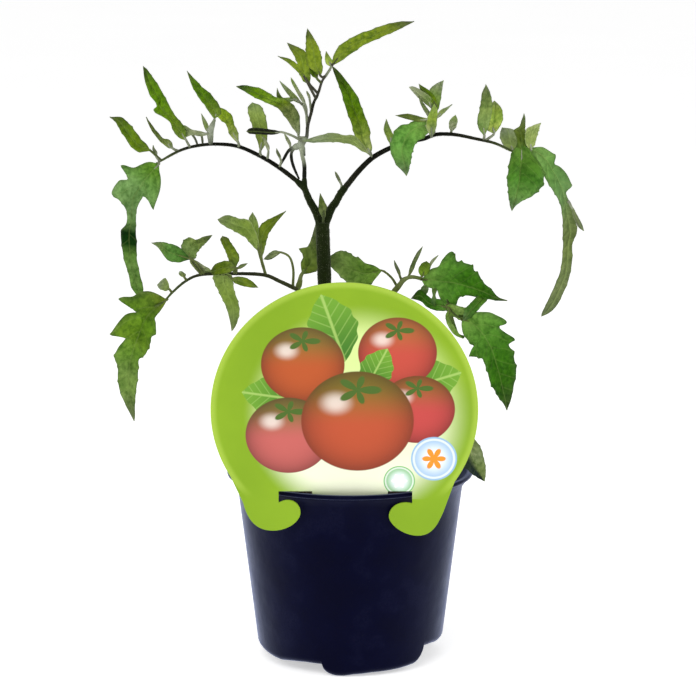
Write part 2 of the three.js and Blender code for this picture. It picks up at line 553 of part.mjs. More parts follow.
// The leaves of the lower right.
const LOWER_RIGHT = {
  rib: [
    ...SOCKETS.lowerRight.start,
    [0, 1, 139.5], [10.5, 3, 147.5], [19.5, 4, 156.5], [22, 3, 160.5], [26, 2.5, 161.5], [29.5, 2, 160.5],
    [35, 1, 155.5], [39.5, -2, 149], [43, -4, 145.5], [46, -5, 144.5],
  ],
  radii: [1.0, 0.55],
  leaflets: [
    { stalk: [[20, 4, 157], [17.5, 8, 160.5]], base: [13.5, 12, 163], tip: [-10.5, 15, 167.5], turn: 15,
      a: [[9.5, 165], [4.5, 167], [0.5, 170.5], [-5, 172]],
      b: [[10.5, 159], [7.5, 156], [0, 156.5], [-6.5, 162]] },
    { stalk: [[22, 3, 160.5]], base: [20.5, 3, 162.5], tip: [18.5, 7, 168], turn: 30,
      a: [[19.5, 164.5]],
      b: [[21, 165]] },
    { stalk: [[23, 3, 161]], base: [24.5, 3, 164], tip: [30, 8, 173.5], turn: 40,
      a: [[25, 168], [27.5, 172]],
      b: [[27, 165.5], [29.5, 169.5]] },
    { stalk: [[29.5, 2, 160.5]], base: [30, 2, 160], tip: [65, -14, 154], turn: 20,
      a: [[33.5, 168.5], [38.5, 170.5], [44.5, 169.5], [49.5, 168], [52.5, 164.5], [55.5, 161.5], [58, 159],
        [61, 156]],
      b: [[32, 155.5], [37.5, 155], [42, 154.5], [45, 154], [48.5, 153.5], [53.5, 149], [55.5, 153.5],
        [59.5, 154]] },
    { stalk: [[32, 2, 160], [34.5, 1, 163]], base: [37, 0, 166], tip: [43, 6, 171.5], turn: 20,
      a: [[37, 168], [39.5, 170]],
      b: [[40, 166.5], [43.5, 169]] },
    { stalk: [[31, 2, 160.5]], base: [33.5, 2, 165], tip: [37, 7, 170.5], turn: 30,
      a: [[33, 167], [35, 169]],
      b: [[35, 165.5], [36.5, 168.5]] },
    { stalk: [[31, 2, 159.5]], base: [32.5, 2, 158.5], tip: [25.5, 9, 151.5], turn: 20,
      a: [[30, 158], [27.5, 154.5]],
      b: [[35, 152.5], [30.5, 150.5]] },
    { stalk: [[35, 1, 156]], base: [36.5, 1, 156], tip: [40.5, 6, 146.5], turn: 20,
      a: [[33.5, 152], [36.5, 148]],
      b: [[41.5, 154], [43, 149.5]] },
    { base: [43, -4, 145.5], tip: [65, -22, 109.5], turn: 15,
      a: [[50, 147], [56, 148.5], [65, 146], [60, 142], [69, 138.5], [65, 136.5], [68, 132], [68.5, 126],
        [68, 118.5], [66, 113.5]],
      b: [[46, 142.5], [47.5, 137.5], [51.5, 134.5], [49, 129.5], [54, 130], [56, 126.5], [57.5, 122.5],
        [59, 118], [61, 115], [63.5, 112]],
      rib: [[47, 144.5], [51.5, 143.5], [55, 142], [55.5, 140], [58, 138], [60, 135], [62, 130.5],
        [63.5, 124], [64, 118.5], [65, 114]] },
  ],
};

// The young top of the plant.
const SHOOT = {
  rib: [
    ...SOCKETS.shoot.start,
    [-19, 1, 209], [-20, 0.5, 214], [-19.5, 0, 217.5], [-18, 0, 220.5], [-17.5, 0, 225.5], [-16, 0, 231],
    [-15, -0.5, 235], [-13.5, -1, 238], [-12.5, -1.5, 241], [-11.5, -2, 244], [-9.5, -2.5, 247],
    [-7, -3, 251],
  ],
  radii: [0.95, 0.5],
  leaflets: [
    { stalk: [[-18.5, 0, 220.5]], base: [-21, 0, 222], tip: [-46, -14, 243], turn: 20,
      a: [[-20.5, 225.5], [-22, 230.5], [-24.5, 235.5], [-28.5, 237.5], [-33, 239.5], [-36.5, 241.5],
        [-41.5, 243]],
      b: [[-23.5, 223.5], [-25.5, 227], [-28, 230], [-31, 233], [-33.5, 234.5], [-37.5, 237],
        [-42.5, 240.5]] },
    { stalk: [[-19, 0, 219], [-24, -3, 222]], base: [-28.5, -4, 223.5], tip: [-42.5, -12, 224], turn: 40,
      a: [[-32, 225], [-38, 225]],
      b: [[-32, 222.5], [-38, 222.5]] },
    { stalk: [[-19.5, 0, 218]], base: [-24, 3, 216.5], tip: [-28.5, 12, 210], turn: 40,
      a: [[-26, 215], [-28, 213]],
      b: [[-25, 213.5], [-27, 211]] },
    { stalk: [[-17, 0, 227]], base: [-18.5, 2, 233], tip: [-29, 9, 243], turn: 35,
      a: [[-21, 237.5], [-25, 241]],
      b: [[-23, 236], [-27, 240]] },
    { stalk: [[-13.5, -1, 239]], base: [-16.5, -2, 243], tip: [-26, 8, 259], turn: 25,
      a: [[-16.5, 246.5], [-17, 251], [-18.5, 255], [-22.5, 257.5]],
      b: [[-19, 244.5], [-20.5, 248.5], [-22.5, 253], [-25, 256.5]] },
    { stalk: [[-14.5, -1, 237], [-16, -3, 240.5]], base: [-19, -3, 246], tip: [-29.5, -12, 255], turn: 35,
      a: [[-20.5, 250], [-24.5, 253.5]],
      b: [[-21, 247.5], [-25.5, 252]] },
    { stalk: [[-12, -2, 243.5]], base: [-13.5, -3, 246], tip: [-16.5, -11, 266], turn: 25,
      a: [[-16.5, 249.5], [-18, 253], [-18, 258], [-18, 262.5]],
      b: [[-11.5, 249], [-11, 253.5], [-12.5, 258], [-14.5, 263]] },
    { stalk: [[-10.5, -2, 246.5]], base: [-9, -2, 248.5], tip: [-8.5, 7, 255], turn: 30,
      a: [[-10.5, 251.5], [-10, 253.5]],
      b: [[-7, 250.5], [-7, 253]] },
    { base: [-7.5, -3, 250.5], tip: [26, -18, 269.5], turn: 25,
      a: [[-6.5, 255.5], [-3, 260], [3, 263.5], [10.5, 266.5], [18.5, 269]],
      b: [[-3.5, 252.5], [2, 256.5], [7.5, 260], [14, 263], [21, 266.5]] },
    { stalk: [[-15.5, 0, 234.5]], base: [-17, 1, 237], tip: [-18.5, 8, 240.5], turn: 40,
      a: [[-18, 238.5]],
      b: [[-17, 239.5]] },
  ],
};

// The one leaf that hangs over the rim from behind the tag.
const BEHIND_TAG = {
  rib: [
    ...SOCKETS.behindTag.start,
    [2, -3, 106], [19, -7, 110], [33.5, -11, 105.5], [45, -14, 96], [47.5, -15, 94],
  ],
  radii: [0.9, 0.55],
  leaflets: [
    { base: [45, -14, 96], tip: [56, -20, 79], turn: 10,
      a: [[49, 97.5], [53.5, 94.5], [55.5, 89.5], [56.5, 83.5]],
      b: [[44, 92.5], [45.5, 88], [48, 84], [52, 81]] },
  ],
};

// The trunk, its fork and the swellings that carry the leaves.
const TRUNK = {
  path: [[-11, 0, TRUNK_FOOT], [-11, 0, 97], [-11, 0, 135.5], [-10.7, 0, 159.5], [-11.2, 0, 175.5], FORK],
  leftArm: [[-11.5, 0, 182], [-14, 0, 189], [-17, 0.5, 194.5], [-19, 1, 199.5]],
  rightArm: [[-11.5, 0, 182], [-8, 0, 190.5], [-6, -0.4, 194.5], [-4, -0.7, 198]],
  leaflets: [
    { stalk: [[-12, 0, 183]], base: [-12, -1, 187.5], tip: [-12.5, 4, 196.5], turn: 20,
      a: [[-14, 191], [-13.5, 194.5]],
      b: [[-10, 191], [-11, 194.5]] },
    { stalk: [[-4.5, -0.6, 197]], base: [-4.5, -2, 200], tip: [-6, -5, 208], turn: 30,
      a: [[-5.5, 203], [-6.3, 206]],
      b: [[-4, 203.5], [-4.8, 206.5]] },
  ],
};

function makeTrunk() {
  const swell = (name, first, last) => stem(SOCKETS[name].swelling, [first, last]);
  return fuse([
    stem(TRUNK.path, [TRUNK_RADIUS, TRUNK_RADIUS + 0.2], 10),
    stem(TRUNK.leftArm, [2, 1.3], 8),
    stem(TRUNK.rightArm, [2.1, 1.45], 8),
    swell("upperLeft", 1.4, 1.15),
    swell("shoot", 1.2, 1.05),
    swell("upperRight", 1.45, 1.35),
    swell("lowerLeft", 1.8, 1.15),
    swell("lowerRight", 1.8, 1.15),
    swell("behindTag", 1.6, 1.05),
    frond({ rib: TRUNK.path, radii: [1, 1], leaflets: TRUNK.leaflets }),
  ]);
}

// The finished object.

const material = (color, roughness) => new THREE.MeshStandardMaterial({ color, roughness, metalness: 0 });
const NAVY_PLASTIC = material(0x14143a, 0.45);
const PEAT = material(0x2b1d14, 0.95);
const TAG_GREEN = material(0x93c51e, 0.4);
const STEM_DARK = material(0x2c3224, 0.7);
const LEAF_GREEN = material(0x55731f, 0.6);
const LEAF_COOL = material(0x46823c, 0.6);

const plant = new THREE.Group();

function add(name, solid, finish) {
  const mesh = new THREE.Mesh(geometryOf(solid), finish);
  mesh.name = name;
  plant.add(mesh);
  return mesh;
}

add("pot", makePot(), NAVY_PLASTIC);
add("soil", makeSoil(), PEAT);
const tag = add("picture_tag", makeTag(), TAG_GREEN);
tag.position.set(0, -TAG_SET_BACK, POT_HEIGHT);
tag.rotation.x = Math.PI / 2 + TAG_LEAN;
add("trunk", makeTrunk(), STEM_DARK);
add("shoot_top", frond(SHOOT), LEAF_GREEN);
add("frond_upper_left", frond(UPPER_LEFT), LEAF_GREEN);
add("frond_upper_right", frond(UPPER_RIGHT), LEAF_COOL);
add("frond_lower_left", frond(LOWER_LEFT), LEAF_COOL);
add("frond_lower_right", frond(LOWER_RIGHT), LEAF_COOL);
add("frond_behind_tag", frond(BEHIND_TAG), LEAF_COOL);

export default plant;
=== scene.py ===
# %% [markdown]
# A young tomato plant in a nursery pot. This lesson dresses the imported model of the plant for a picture.
# The model gives every piece its place: a pot, the peat in it, a picture tag that hooks over the rim, and a
# forked stem with six leafy stems on it. Everything is in metres, +Z is up, and the front is at -Y.

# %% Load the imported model
import math

import bpy
import numpy as np
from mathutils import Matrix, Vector


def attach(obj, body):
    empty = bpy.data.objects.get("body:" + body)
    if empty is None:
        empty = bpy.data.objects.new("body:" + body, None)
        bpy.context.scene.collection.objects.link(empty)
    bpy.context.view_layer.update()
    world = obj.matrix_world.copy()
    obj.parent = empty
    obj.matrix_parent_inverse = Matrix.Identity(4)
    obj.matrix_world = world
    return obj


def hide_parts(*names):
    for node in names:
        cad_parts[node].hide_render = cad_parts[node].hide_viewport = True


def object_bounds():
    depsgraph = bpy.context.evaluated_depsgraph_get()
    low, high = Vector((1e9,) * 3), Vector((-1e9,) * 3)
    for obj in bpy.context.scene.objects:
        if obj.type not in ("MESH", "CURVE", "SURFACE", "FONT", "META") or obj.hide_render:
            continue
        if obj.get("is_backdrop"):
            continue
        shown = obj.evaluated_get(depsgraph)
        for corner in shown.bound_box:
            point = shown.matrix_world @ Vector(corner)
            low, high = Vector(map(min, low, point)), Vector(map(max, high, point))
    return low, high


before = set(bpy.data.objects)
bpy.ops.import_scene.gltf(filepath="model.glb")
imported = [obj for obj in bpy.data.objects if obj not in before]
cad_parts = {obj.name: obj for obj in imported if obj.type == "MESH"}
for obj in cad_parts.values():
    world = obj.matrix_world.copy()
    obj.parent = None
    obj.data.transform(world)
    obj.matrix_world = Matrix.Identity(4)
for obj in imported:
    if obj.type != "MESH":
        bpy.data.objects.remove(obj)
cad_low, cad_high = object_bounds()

MM = 0.001
print("pieces of the model:", sorted(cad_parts))

# %% [markdown]
# The camera stands 1.2 m in front of the plant and looks ten degrees down on it, through a long lens. A
# long lens keeps the rim of the pot nearly flat, as a catalogue picture does. The lens is the distance in
# pixels from the eye to the picture, over the picture's width, times the width of the sensor.

# %% Camera
LOOK_AT = Vector((-0.84 * MM, 0, 131.9 * MM))
LOOK_DOWN = math.radians(10)
EYE_DISTANCE, EYE_IN_PIXELS, PICTURE_WIDTH, SENSOR = 1.2, 2858, 696, 36


def stand_facing(name, data, place):
    """A camera or a lamp at a place, turned towards the middle of the plant."""
    thing = bpy.data.objects.new(name, data)
    thing.location = place
    thing.rotation_euler = (LOOK_AT - thing.location).to_track_quat("-Z", "Y").to_euler()
    bpy.context.scene.collection.objects.link(thing)
    return thing


eye = LOOK_AT + EYE_DISTANCE * Vector((0, -math.cos(LOOK_DOWN), math.sin(LOOK_DOWN)))
camera = stand_facing("camera", bpy.data.cameras.new("camera"), eye)
camera.data.sensor_width = SENSOR
camera.data.lens = SENSOR * EYE_IN_PIXELS / PICTURE_WIDTH
bpy.context.scene.camera = camera
print("camera at", tuple(round(c, 3) for c in camera.location))

# %% [markdown]
# The studio is a wide pale floor under a pale sky, with three soft lights. Two tall ones stand at the sides,
# because they draw the grey-blue bands along the pot's edges, and a broad one above the camera lights the
# leaves. Large lights close by give soft shadows. The sky lights the plant with half the strength that the
# camera sees, so the background stays white while the shadows keep some depth.

# %% Floor, sky and lights
SKY_ON_PLANT, SKY_IN_PICTURE, FLOOR_REACH = 0.5, 1.0, 8


def soft_light(name, place, width, height, watts):
    """A flat lamp of the given width and height in metres."""
    data = bpy.data.lights.new(name, "AREA")
    data.shape, data.size, data.size_y, data.energy = "RECTANGLE", width, height, watts
    stand_facing(name, data, place)


soft_light("light_left", (-1.1, -0.2, 0.35), 0.35, 1.2, 7)
soft_light("light_right", (1.1, -0.2, 0.35), 0.35, 1.2, 7)
soft_light("light_front", (-0.35, -1.3, 1.3), 1.0, 0.8, 8)

world = bpy.data.worlds.new("pale_sky")
world.use_nodes = True
sky = world.node_tree.nodes["Background"].inputs
sky["Color"].default_value = (1, 1, 1, 1)
seen = world.node_tree.nodes.new("ShaderNodeMapRange")
seen.inputs["To Min"].default_value = SKY_ON_PLANT
seen.inputs["To Max"].default_value = SKY_IN_PICTURE
ray = world.node_tree.nodes.new("ShaderNodeLightPath")
world.node_tree.links.new(ray.outputs["Is Camera Ray"], seen.inputs["Value"])
world.node_tree.links.new(seen.outputs["Result"], sky["Strength"])
bpy.context.scene.world = world
bpy.context.scene.view_settings.view_transform = "Standard"

floor_mesh = bpy.data.meshes.new("studio_floor")
floor_corners = [(x * FLOOR_REACH, y * FLOOR_REACH, 0) for x, y in ((-1, -1), (1, -1), (1, 1), (-1, 1))]
floor_mesh.from_pydata(floor_corners, [], [(0, 1, 2, 3)])
studio_floor = bpy.data.objects.new("studio_floor", floor_mesh)
bpy.context.scene.collection.objects.link(studio_floor)
studio_floor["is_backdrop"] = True
print("three lights, a floor and a pale sky")

# %% [markdown]
# Shaders are sums over a surface, so they are easier to read as sums. A Field stands for a number that the
# shader works out at each point, and +, -, * and / between Fields add the math nodes.

# %% Helpers for shaders
def plug(tree, value, socket):
    """Feeds a socket with a Field, another socket or a plain value."""
    if isinstance(value, Field):
        tree.links.new(value.socket, socket)
    elif isinstance(value, bpy.types.NodeSocket):
        tree.links.new(value, socket)
    else:
        socket.default_value = value


def feed(tree, node, **inputs):
    """Feeds a node's inputs by name, with an underscore for each space."""
    for name, value in inputs.items():
        plug(tree, value, node.inputs[name.replace("_", " ")])
    return node


def add_node(tree, kind, settings=(), **inputs):
    """One node, with settings such as noise type, and its inputs."""
    node = tree.nodes.new(kind)
    for key, value in dict(settings).items():
        setattr(node, key, value)
    return feed(tree, node, **inputs)


class Field:
    """A number at each point of a surface."""

    def __init__(self, tree, socket):
        self.tree, self.socket = tree, socket

    def math(self, operation, *others):
        node = add_node(self.tree, "ShaderNodeMath", {"operation": operation})
        for socket, value in zip(node.inputs, (self, *others)):
            plug(self.tree, value, socket)
        return Field(self.tree, node.outputs[0])

    def __add__(self, other):
        return self.math("ADD", other)

    def __sub__(self, other):
        return self.math("SUBTRACT", other)

    def __mul__(self, other):
        return self.math("MULTIPLY", other)

    def __truediv__(self, other):
        return self.math("DIVIDE", other)

    def size(self):
        """The number without its sign."""
        return self.math("ABSOLUTE")

    def ramp(self, low, high):
        """0 at low, 1 at high, with a smooth change between. Low may be the larger."""
        node = add_node(self.tree, "ShaderNodeMapRange", {"interpolation_type": "SMOOTHSTEP"},
                        Value=self, From_Min=low, From_Max=high)
        return Field(self.tree, node.outputs["Result"])


def blend(tree, factor, first, second, how="MIX"):
    """The first colour where the factor is 0 and the second where it is 1."""
    node = tree.nodes.new("ShaderNodeMix")
    node.data_type, node.blend_type = "RGBA", how
    for index, value in ((0, factor), (6, first), (7, second)):
        plug(tree, value, node.inputs[index])
    return node.outputs[2]


def colour(red, green, blue):
    """A screen colour of 0 to 255 as the linear colour that a shader takes."""
    screen = np.array([red, green, blue]) / 255
    linear = np.where(screen < 0.04045, screen / 12.92, ((screen + 0.055) / 1.055) ** 2.4)
    return (*linear.tolist(), 1)


def new_group(name, inputs, outputs):
    """A shader node group, its inputs by name as Fields or colour sockets, and its output node. An input
    whose value is four numbers, and an output named Color, is a colour. The rest are plain numbers."""
    tree = bpy.data.node_groups.new(name, "ShaderNodeTree")
    kinds = {True: "NodeSocketColor", False: "NodeSocketFloat"}
    for label, value in inputs.items():
        kind = kinds[isinstance(value, tuple)]
        tree.interface.new_socket(label, in_out="INPUT", socket_type=kind).default_value = value
    for label in outputs:
        tree.interface.new_socket(label, in_out="OUTPUT", socket_type=kinds[label == "Color"])
    entry = tree.nodes.new("NodeGroupInput").outputs
    given = {label: entry[label] if isinstance(value, tuple) else Field(tree, entry[label])
             for label, value in inputs.items()}
    return tree, given, tree.nodes.new("NodeGroupOutput")


def place_group(tree, group, **inputs):
    """A group's outputs in a material, with its inputs fed."""
    return add_node(tree, "ShaderNodeGroup", {"node_tree": group}, **inputs).outputs


def new_material(name, **shader_values):
    """A material with one Principled shader, its node tree and that shader."""
    material = bpy.data.materials.new(name)
    material.use_nodes = True
    tree = material.node_tree
    return material, tree, feed(tree, tree.nodes["Principled BSDF"], **shader_values)


def relief(tree, height, millimetres):
    """The normal of a surface on which a height of 0 to 1 stands for the given depth."""
    node = add_node(tree, "ShaderNodeBump", Height=height, Strength=1.0, Distance=millimetres * MM)
    return node.outputs["Normal"]


def object_place(tree):
    """The point's place on the piece, in metres."""
    return tree.nodes.new("ShaderNodeTexCoord").outputs["Object"]


print("shader helpers ready")

# %% [markdown]
# Nothing that grew or was moulded has one even colour. A mottle is slow noise between two limits, and it
# goes into every material, each with its own size of patch. Size is in patches per metre, because the noise
# reads Object coordinates, which are metres.

# %% Mottle, for every material
MOTTLE, given, result = new_group("mottle", dict(Patches=100.0, Detail=3.0, Low=0.0, High=1.0), ["Value"])
noise = add_node(
    MOTTLE, "ShaderNodeTexNoise", Vector=object_place(MOTTLE), Scale=given["Patches"], Detail=given["Detail"])
spread = Field(MOTTLE, noise.outputs["Fac"]).ramp(0.3, 0.7)
feed(MOTTLE, result, Value=spread * (given["High"] - given["Low"]) + given["Low"])


def mottle(tree, patches, low=0.0, high=1.0, detail=3.0):
    """Slow noise between low and high, as a Field."""
    made = place_group(tree, MOTTLE, Patches=patches, Detail=detail, Low=low, High=high)
    return Field(tree, made["Value"])


floor_paint, tree, shader = new_material(
    "floor_paint", Roughness=0.8, Emission_Strength=0.49, Emission_Color=(1, 1, 1, 1))
grey = mottle(tree, 3, 0.985, 1.0)
pale = add_node(tree, "ShaderNodeCombineColor", Red=grey, Green=grey, Blue=grey)
feed(tree, shader, Base_Color=pale.outputs["Color"])
floor_mesh.materials.append(floor_paint)
print("mottle made, and used on the floor")

# %% [markdown]
# Every surface here is a grid of points: rows along the piece, columns round or across it. The next cell
# turns such grids into meshes. A closed tube or bowl needs its two ends shut, so each end is one point with
# a fan of triangles round it.

# %% Helpers for meshes
def grid_faces(rows, columns, wrap=False, start=0):
    """Four-sided faces between neighbouring rows and columns. With wrap, the last column joins the first."""
    row = np.arange(rows - 1)[:, None]
    column = np.arange(columns if wrap else columns - 1)[None, :]
    after = (column + 1) % columns
    corners = [row * columns + column, row * columns + after,
               (row + 1) * columns + after, (row + 1) * columns + column]
    return start + np.stack(np.broadcast_arrays(*corners), axis=-1).reshape(-1, 4)


def fan_faces(centre, ring):
    """Triangles from one point to each side of a ring."""
    return np.column_stack([np.full(len(ring), centre), ring, np.roll(ring, -1)])


def smooth_through(points, per_span):
    """A smooth curve through points. On each span the curve leaves and arrives along the line between the
    two neighbours of each point, which is the Catmull-Rom rule."""
    points = np.asarray(points, float)
    first, last = 2 * points[0] - points[1], 2 * points[-1] - points[-2]
    p = np.vstack([first, points, last])
    t = np.linspace(0, 1, per_span, endpoint=False)[None, :, None]
    start, end = p[1:-2, None], p[2:-1, None]
    leave, arrive = (end - p[:-3, None]) / 2, (p[3:, None] - start) / 2
    h = 2 * t**3 - 3 * t**2
    spans = (h + 1) * start - h * end + (t**3 - 2 * t**2 + t) * leave + (t**3 - t**2) * arrive
    return np.vstack([spans.reshape(-1, points.shape[1]), points[-1]])


def lengths_along(line):
    """The distance from the start of a line to each of its points."""
    steps = np.linalg.norm(np.diff(line, axis=0), axis=1)
    return np.concatenate([[0.0], np.cumsum(steps)])


def unit(vectors):
    """Vectors scaled to a length of 1."""
    return vectors / np.maximum(np.linalg.norm(vectors, axis=-1, keepdims=True), 1e-12)


def build_piece(name, points, faces, materials, face_material=None, sharp_degrees=40):
    """An object at the origin from points in millimetres and lists of faces. Faces are smooth, apart from
    edges sharper than the given angle."""
    mesh = bpy.data.meshes.new(name)
    corners = [face for part in faces for face in part.tolist()]
    mesh.from_pydata((np.asarray(points) * MM).tolist(), [], corners)
    for material in materials:
        mesh.materials.append(material)
    if face_material is not None:
        mesh.polygons.foreach_set("material_index", np.asarray(face_material, np.int32))
    mesh.polygons.foreach_set("use_smooth", np.ones(len(mesh.polygons), bool))
    mesh.set_sharp_from_angle(angle=math.radians(sharp_degrees))
    mesh.update()
    piece = bpy.data.objects.new(name, mesh)
    bpy.context.scene.collection.objects.link(piece)
    print(name, "has", len(mesh.vertices), "points and", len(mesh.polygons), "faces")
    return piece


def settle(piece, node):
    """The piece rides on the one body and stands for its node, which is hidden."""
    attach(piece, "root")
    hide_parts(node)


def round_body(radius, height, bearing):
    """Points and faces of a closed round body. Radius and height are grids with a row for each step of the
    outline, from the underside's middle round to the middle again, and a column for each bearing. The
    bearing is counted from the front towards +X."""
    x, y = radius * np.sin(bearing), -radius * np.cos(bearing)
    grid = np.stack([x, y, np.broadcast_to(height, x.shape)], axis=-1)
    rows, columns = radius.shape
    ends = [[0, 0, height[0].min()], [0, 0, height[-1].mean()]]
    points = np.vstack([grid.reshape(-1, 3), ends])
    first_ring, last_ring = np.arange(columns), np.arange(columns) + (rows - 1) * columns
    bottom = fan_faces(rows * columns, first_ring[::-1])
    top = fan_faces(rows * columns + 1, last_ring)
    return points, [grid_faces(rows, columns, wrap=True), bottom, top]


print("mesh helpers ready")

# %% [markdown]
# The pot is moulded from thin dark plastic. Its wall flares a little below a flat rim, and its base stands on
# three feet, with raised gaps between them that let water run out. A plain turned shape can't have feet, so
# the outline is worked out again for each bearing: where there is a gap, the underside is higher. Bearings
# are in degrees from the front towards the right, and the lower edge is a little uneven.

# %% Pot: the heights of the underside
FEET, FOOT_END = [(-18, 52), (102, 172), (212, 264)], 10
LOW_GAP, LOW_GAP_HEIGHT, HIGH_GAP_HEIGHT = (254, 352), 5.0, 8.8
# How far the lower edge is off an even one: pairs of bearing and millimetres, read from the front.
UNEVEN_EDGE = np.array([
    (-95, 0), (-74, -0.8), (-63, -1.4), (-56, -1.7), (-50, -1.8), (-44, -1.2), (-39, -0.8), (-30, -0.3),
    (-18, -0.3), (-12, 0), (-4, 0), (2, 0.6), (8, 0.85), (14, 1.2), (24, 1.3), (33, 1.5), (38, 1.75),
    (43, 2.0), (48, 1.4), (56, 0), (62, -0.2), (70, -1.0), (80, -1.2), (96, 0)])
WALL, WALL_AT_GROUND, WALL_TAPER = 1.2, 38.4, 0.124
FOOT_CORNER, HUB, HUB_SLOPE = 3.0, 12.0, 0.4
RIM, OPENING, FLARE_FROM, RIM_TOP, RIM_THICKNESS = 51.9, 49.4, 74.0, 80.0, 1.8


def within(degrees, span, edge=1.2):
    """1 inside a span of bearings and 0 outside, with a slope as wide as the edge."""
    middle, half = sum(span) / 2, (span[1] - span[0]) / 2
    away = np.abs((degrees - middle + 180) % 360 - 180)
    return np.clip((half - away) / edge + 0.5, 0, 1)


def underside(degrees):
    """The height of the pot's underside at each bearing. The ends of a foot are round: across each end the
    height falls as a quarter of an ellipse, 1 - sqrt(1 - (1 - share)^2). The unevenness is added to it."""
    share = np.max([
        within(degrees, (start + FOOT_END / 2, end - FOOT_END / 2), FOOT_END) for start, end in FEET], axis=0)
    gap = HIGH_GAP_HEIGHT + (LOW_GAP_HEIGHT - HIGH_GAP_HEIGHT) * within(degrees, LOW_GAP)
    even = gap * (1 - np.sqrt(1 - (1 - share) ** 2))
    added = np.interp((degrees + 180) % 360 - 180, *UNEVEN_EDGE.T, left=0, right=0)
    return np.maximum(even + added, 0)


def wall_radius(height):
    """The wall's outer radius: its radius at the ground and the taper for each millimetre of height."""
    return WALL_AT_GROUND + WALL_TAPER * height


def base_outline(floor, inset):
    """Rows of radius and height from the middle of the base out and up to the wall, moved in by the inset:
    a hub that reaches the ground, the floor, and a rounded corner."""
    corner = wall_radius(floor + FOOT_CORNER) - FOOT_CORNER
    bend = np.radians(np.linspace(0, 90, 7))[:, None]
    level = np.ones_like(floor)
    hub = HUB - inset
    radius = [(hub - 4) * level, (hub - HUB_SLOPE) * level, (hub + HUB_SLOPE) * level, 0.6 * corner]
    height = [inset * level, inset * level, floor + inset, floor + inset]
    arc = corner + (FOOT_CORNER - inset) * np.sin(bend)
    arc_height = floor + FOOT_CORNER - (FOOT_CORNER - inset) * np.cos(bend)
    return np.vstack([radius, arc]), np.vstack([height, arc_height])


bearings = np.arange(0, 360, 1.0)
floor = underside(bearings)
print("underside from", floor.min(), "to", floor.max(), "mm")

# %% [markdown]
# The plastic is a dull navy, nearly black. What shows that the pot is round is a soft sheen that brightens
# towards its sides. A coat would look wet, so the Sheen of the Principled shader does it. A mottle and some
# faint pale scuffs keep it from looking painted.

# %% Pot: its plastic
POT_PLASTIC, tree, shader = new_material("pot_plastic", Specular_IOR_Level=0.03, Sheen_Weight=0.66,
                                         Sheen_Roughness=0.34, Sheen_Tint=(0.5, 0.6, 1, 1))
navy = blend(tree, mottle(tree, 60), colour(0, 0, 24), colour(0, 1, 30))
scuff = mottle(tree, 1400, detail=6) * mottle(tree, 60).ramp(0.75, 1.0)
feed(tree, shader, Base_Color=blend(tree, scuff * 0.05, navy, colour(60, 62, 90)),
     Roughness=mottle(tree, 140, 0.3, 0.4),
     Normal=relief(tree, mottle(tree, 40) + mottle(tree, 1500) * 0.05, 0.2))
print("dark navy plastic made")

# %% [markdown]
# The shape is one closed grid. Its rows go from the middle of the underside out and up the wall, round the
# curl of the rim and down the inside to the middle again, and its columns are the bearings.

# %% Pot: its shape
around_pot = np.radians(bearings)[None, :]
level = np.ones_like(floor)[None, :]
under_rim = RIM_TOP - RIM_THICKNESS
rise = np.linspace(0.12, 1, 6)[:, None]
wall_height = (floor + FOOT_CORNER) * (1 - rise) + FLARE_FROM * rise
outer_r, outer_z = base_outline(floor, 0.0)
inner_r, inner_z = base_outline(floor, WALL)
curl = np.radians(np.linspace(-90, 90, 9))[:, None]
lip = RIM_THICKNESS / 2
rim_r = np.vstack([
    [[OPENING + 0.6], [OPENING + 1.2]], RIM - lip + lip * np.cos(curl), [[OPENING + 0.5], [OPENING]]])
rim_z = np.vstack([
    [[under_rim - 1.0], [under_rim]], RIM_TOP - lip + lip * np.sin(curl), [[RIM_TOP], [RIM_TOP - 0.5]]])
radius = np.vstack([
    outer_r, wall_radius(wall_height), rim_r * level, (OPENING - 0.1) * level,
    wall_radius(wall_height[::-1]) - WALL, inner_r[::-1]])
height = np.vstack([outer_z, wall_height, rim_z * level, under_rim * level, wall_height[::-1], inner_z[::-1]])
points, faces = round_body(radius, height, around_pot)
pot = build_piece("nursery_pot", points, faces, [POT_PLASTIC], sharp_degrees=35)

# %% [markdown]
# Three round holes in the raised gaps drain the pot. A hole through a thin shell is easiest as a cut: three
# short rods stand through the floor, a Boolean modifier takes them out of the pot, and the rods are thrown
# away once the cut is kept in the mesh.

# %% Pot: its drain holes
DRAIN_BEARINGS, DRAIN_OUT, DRAIN_RADIUS = (77, 197, 317), 27, 2.5


def cut_out(piece, cutter):
    """Keeps in the piece's mesh what is left after the cutter is taken out of it."""
    cut = piece.modifiers.new("cut", "BOOLEAN")
    cut.object, cut.solver = cutter, "EXACT"
    kept = bpy.data.meshes.new_from_object(piece.evaluated_get(bpy.context.evaluated_depsgraph_get()))
    piece.modifiers.clear()
    piece.data = kept
    bpy.data.objects.remove(cutter)


around_rod = np.radians(np.arange(0, 360, 15.0))[None, :]
rod_z = np.array([[1.0], [14.0]])
rod_r = np.full((2, around_rod.size), DRAIN_RADIUS)
for bearing in np.radians(DRAIN_BEARINGS):
    rod_points, rod_faces = round_body(rod_r, rod_z, around_rod)
    rod_points += [DRAIN_OUT * math.sin(bearing), -DRAIN_OUT * math.cos(bearing), 0]
    cut_out(pot, build_piece("drain_rod", rod_points, rod_faces, []))
settle(pot, "pot")
print("pot now has", len(pot.data.polygons), "faces")

# %% [markdown]
# Peat is dark, crumbly and damp. Its body fills the pot like a casting of the inside, with the same outline
# moved in. The top is a height map: many small waves in all directions add up to an uneven surface. On it
# lie a few hundred loose crumbs, each a ball of 32 faces pushed out of shape, made all at once from one
# array of balls.

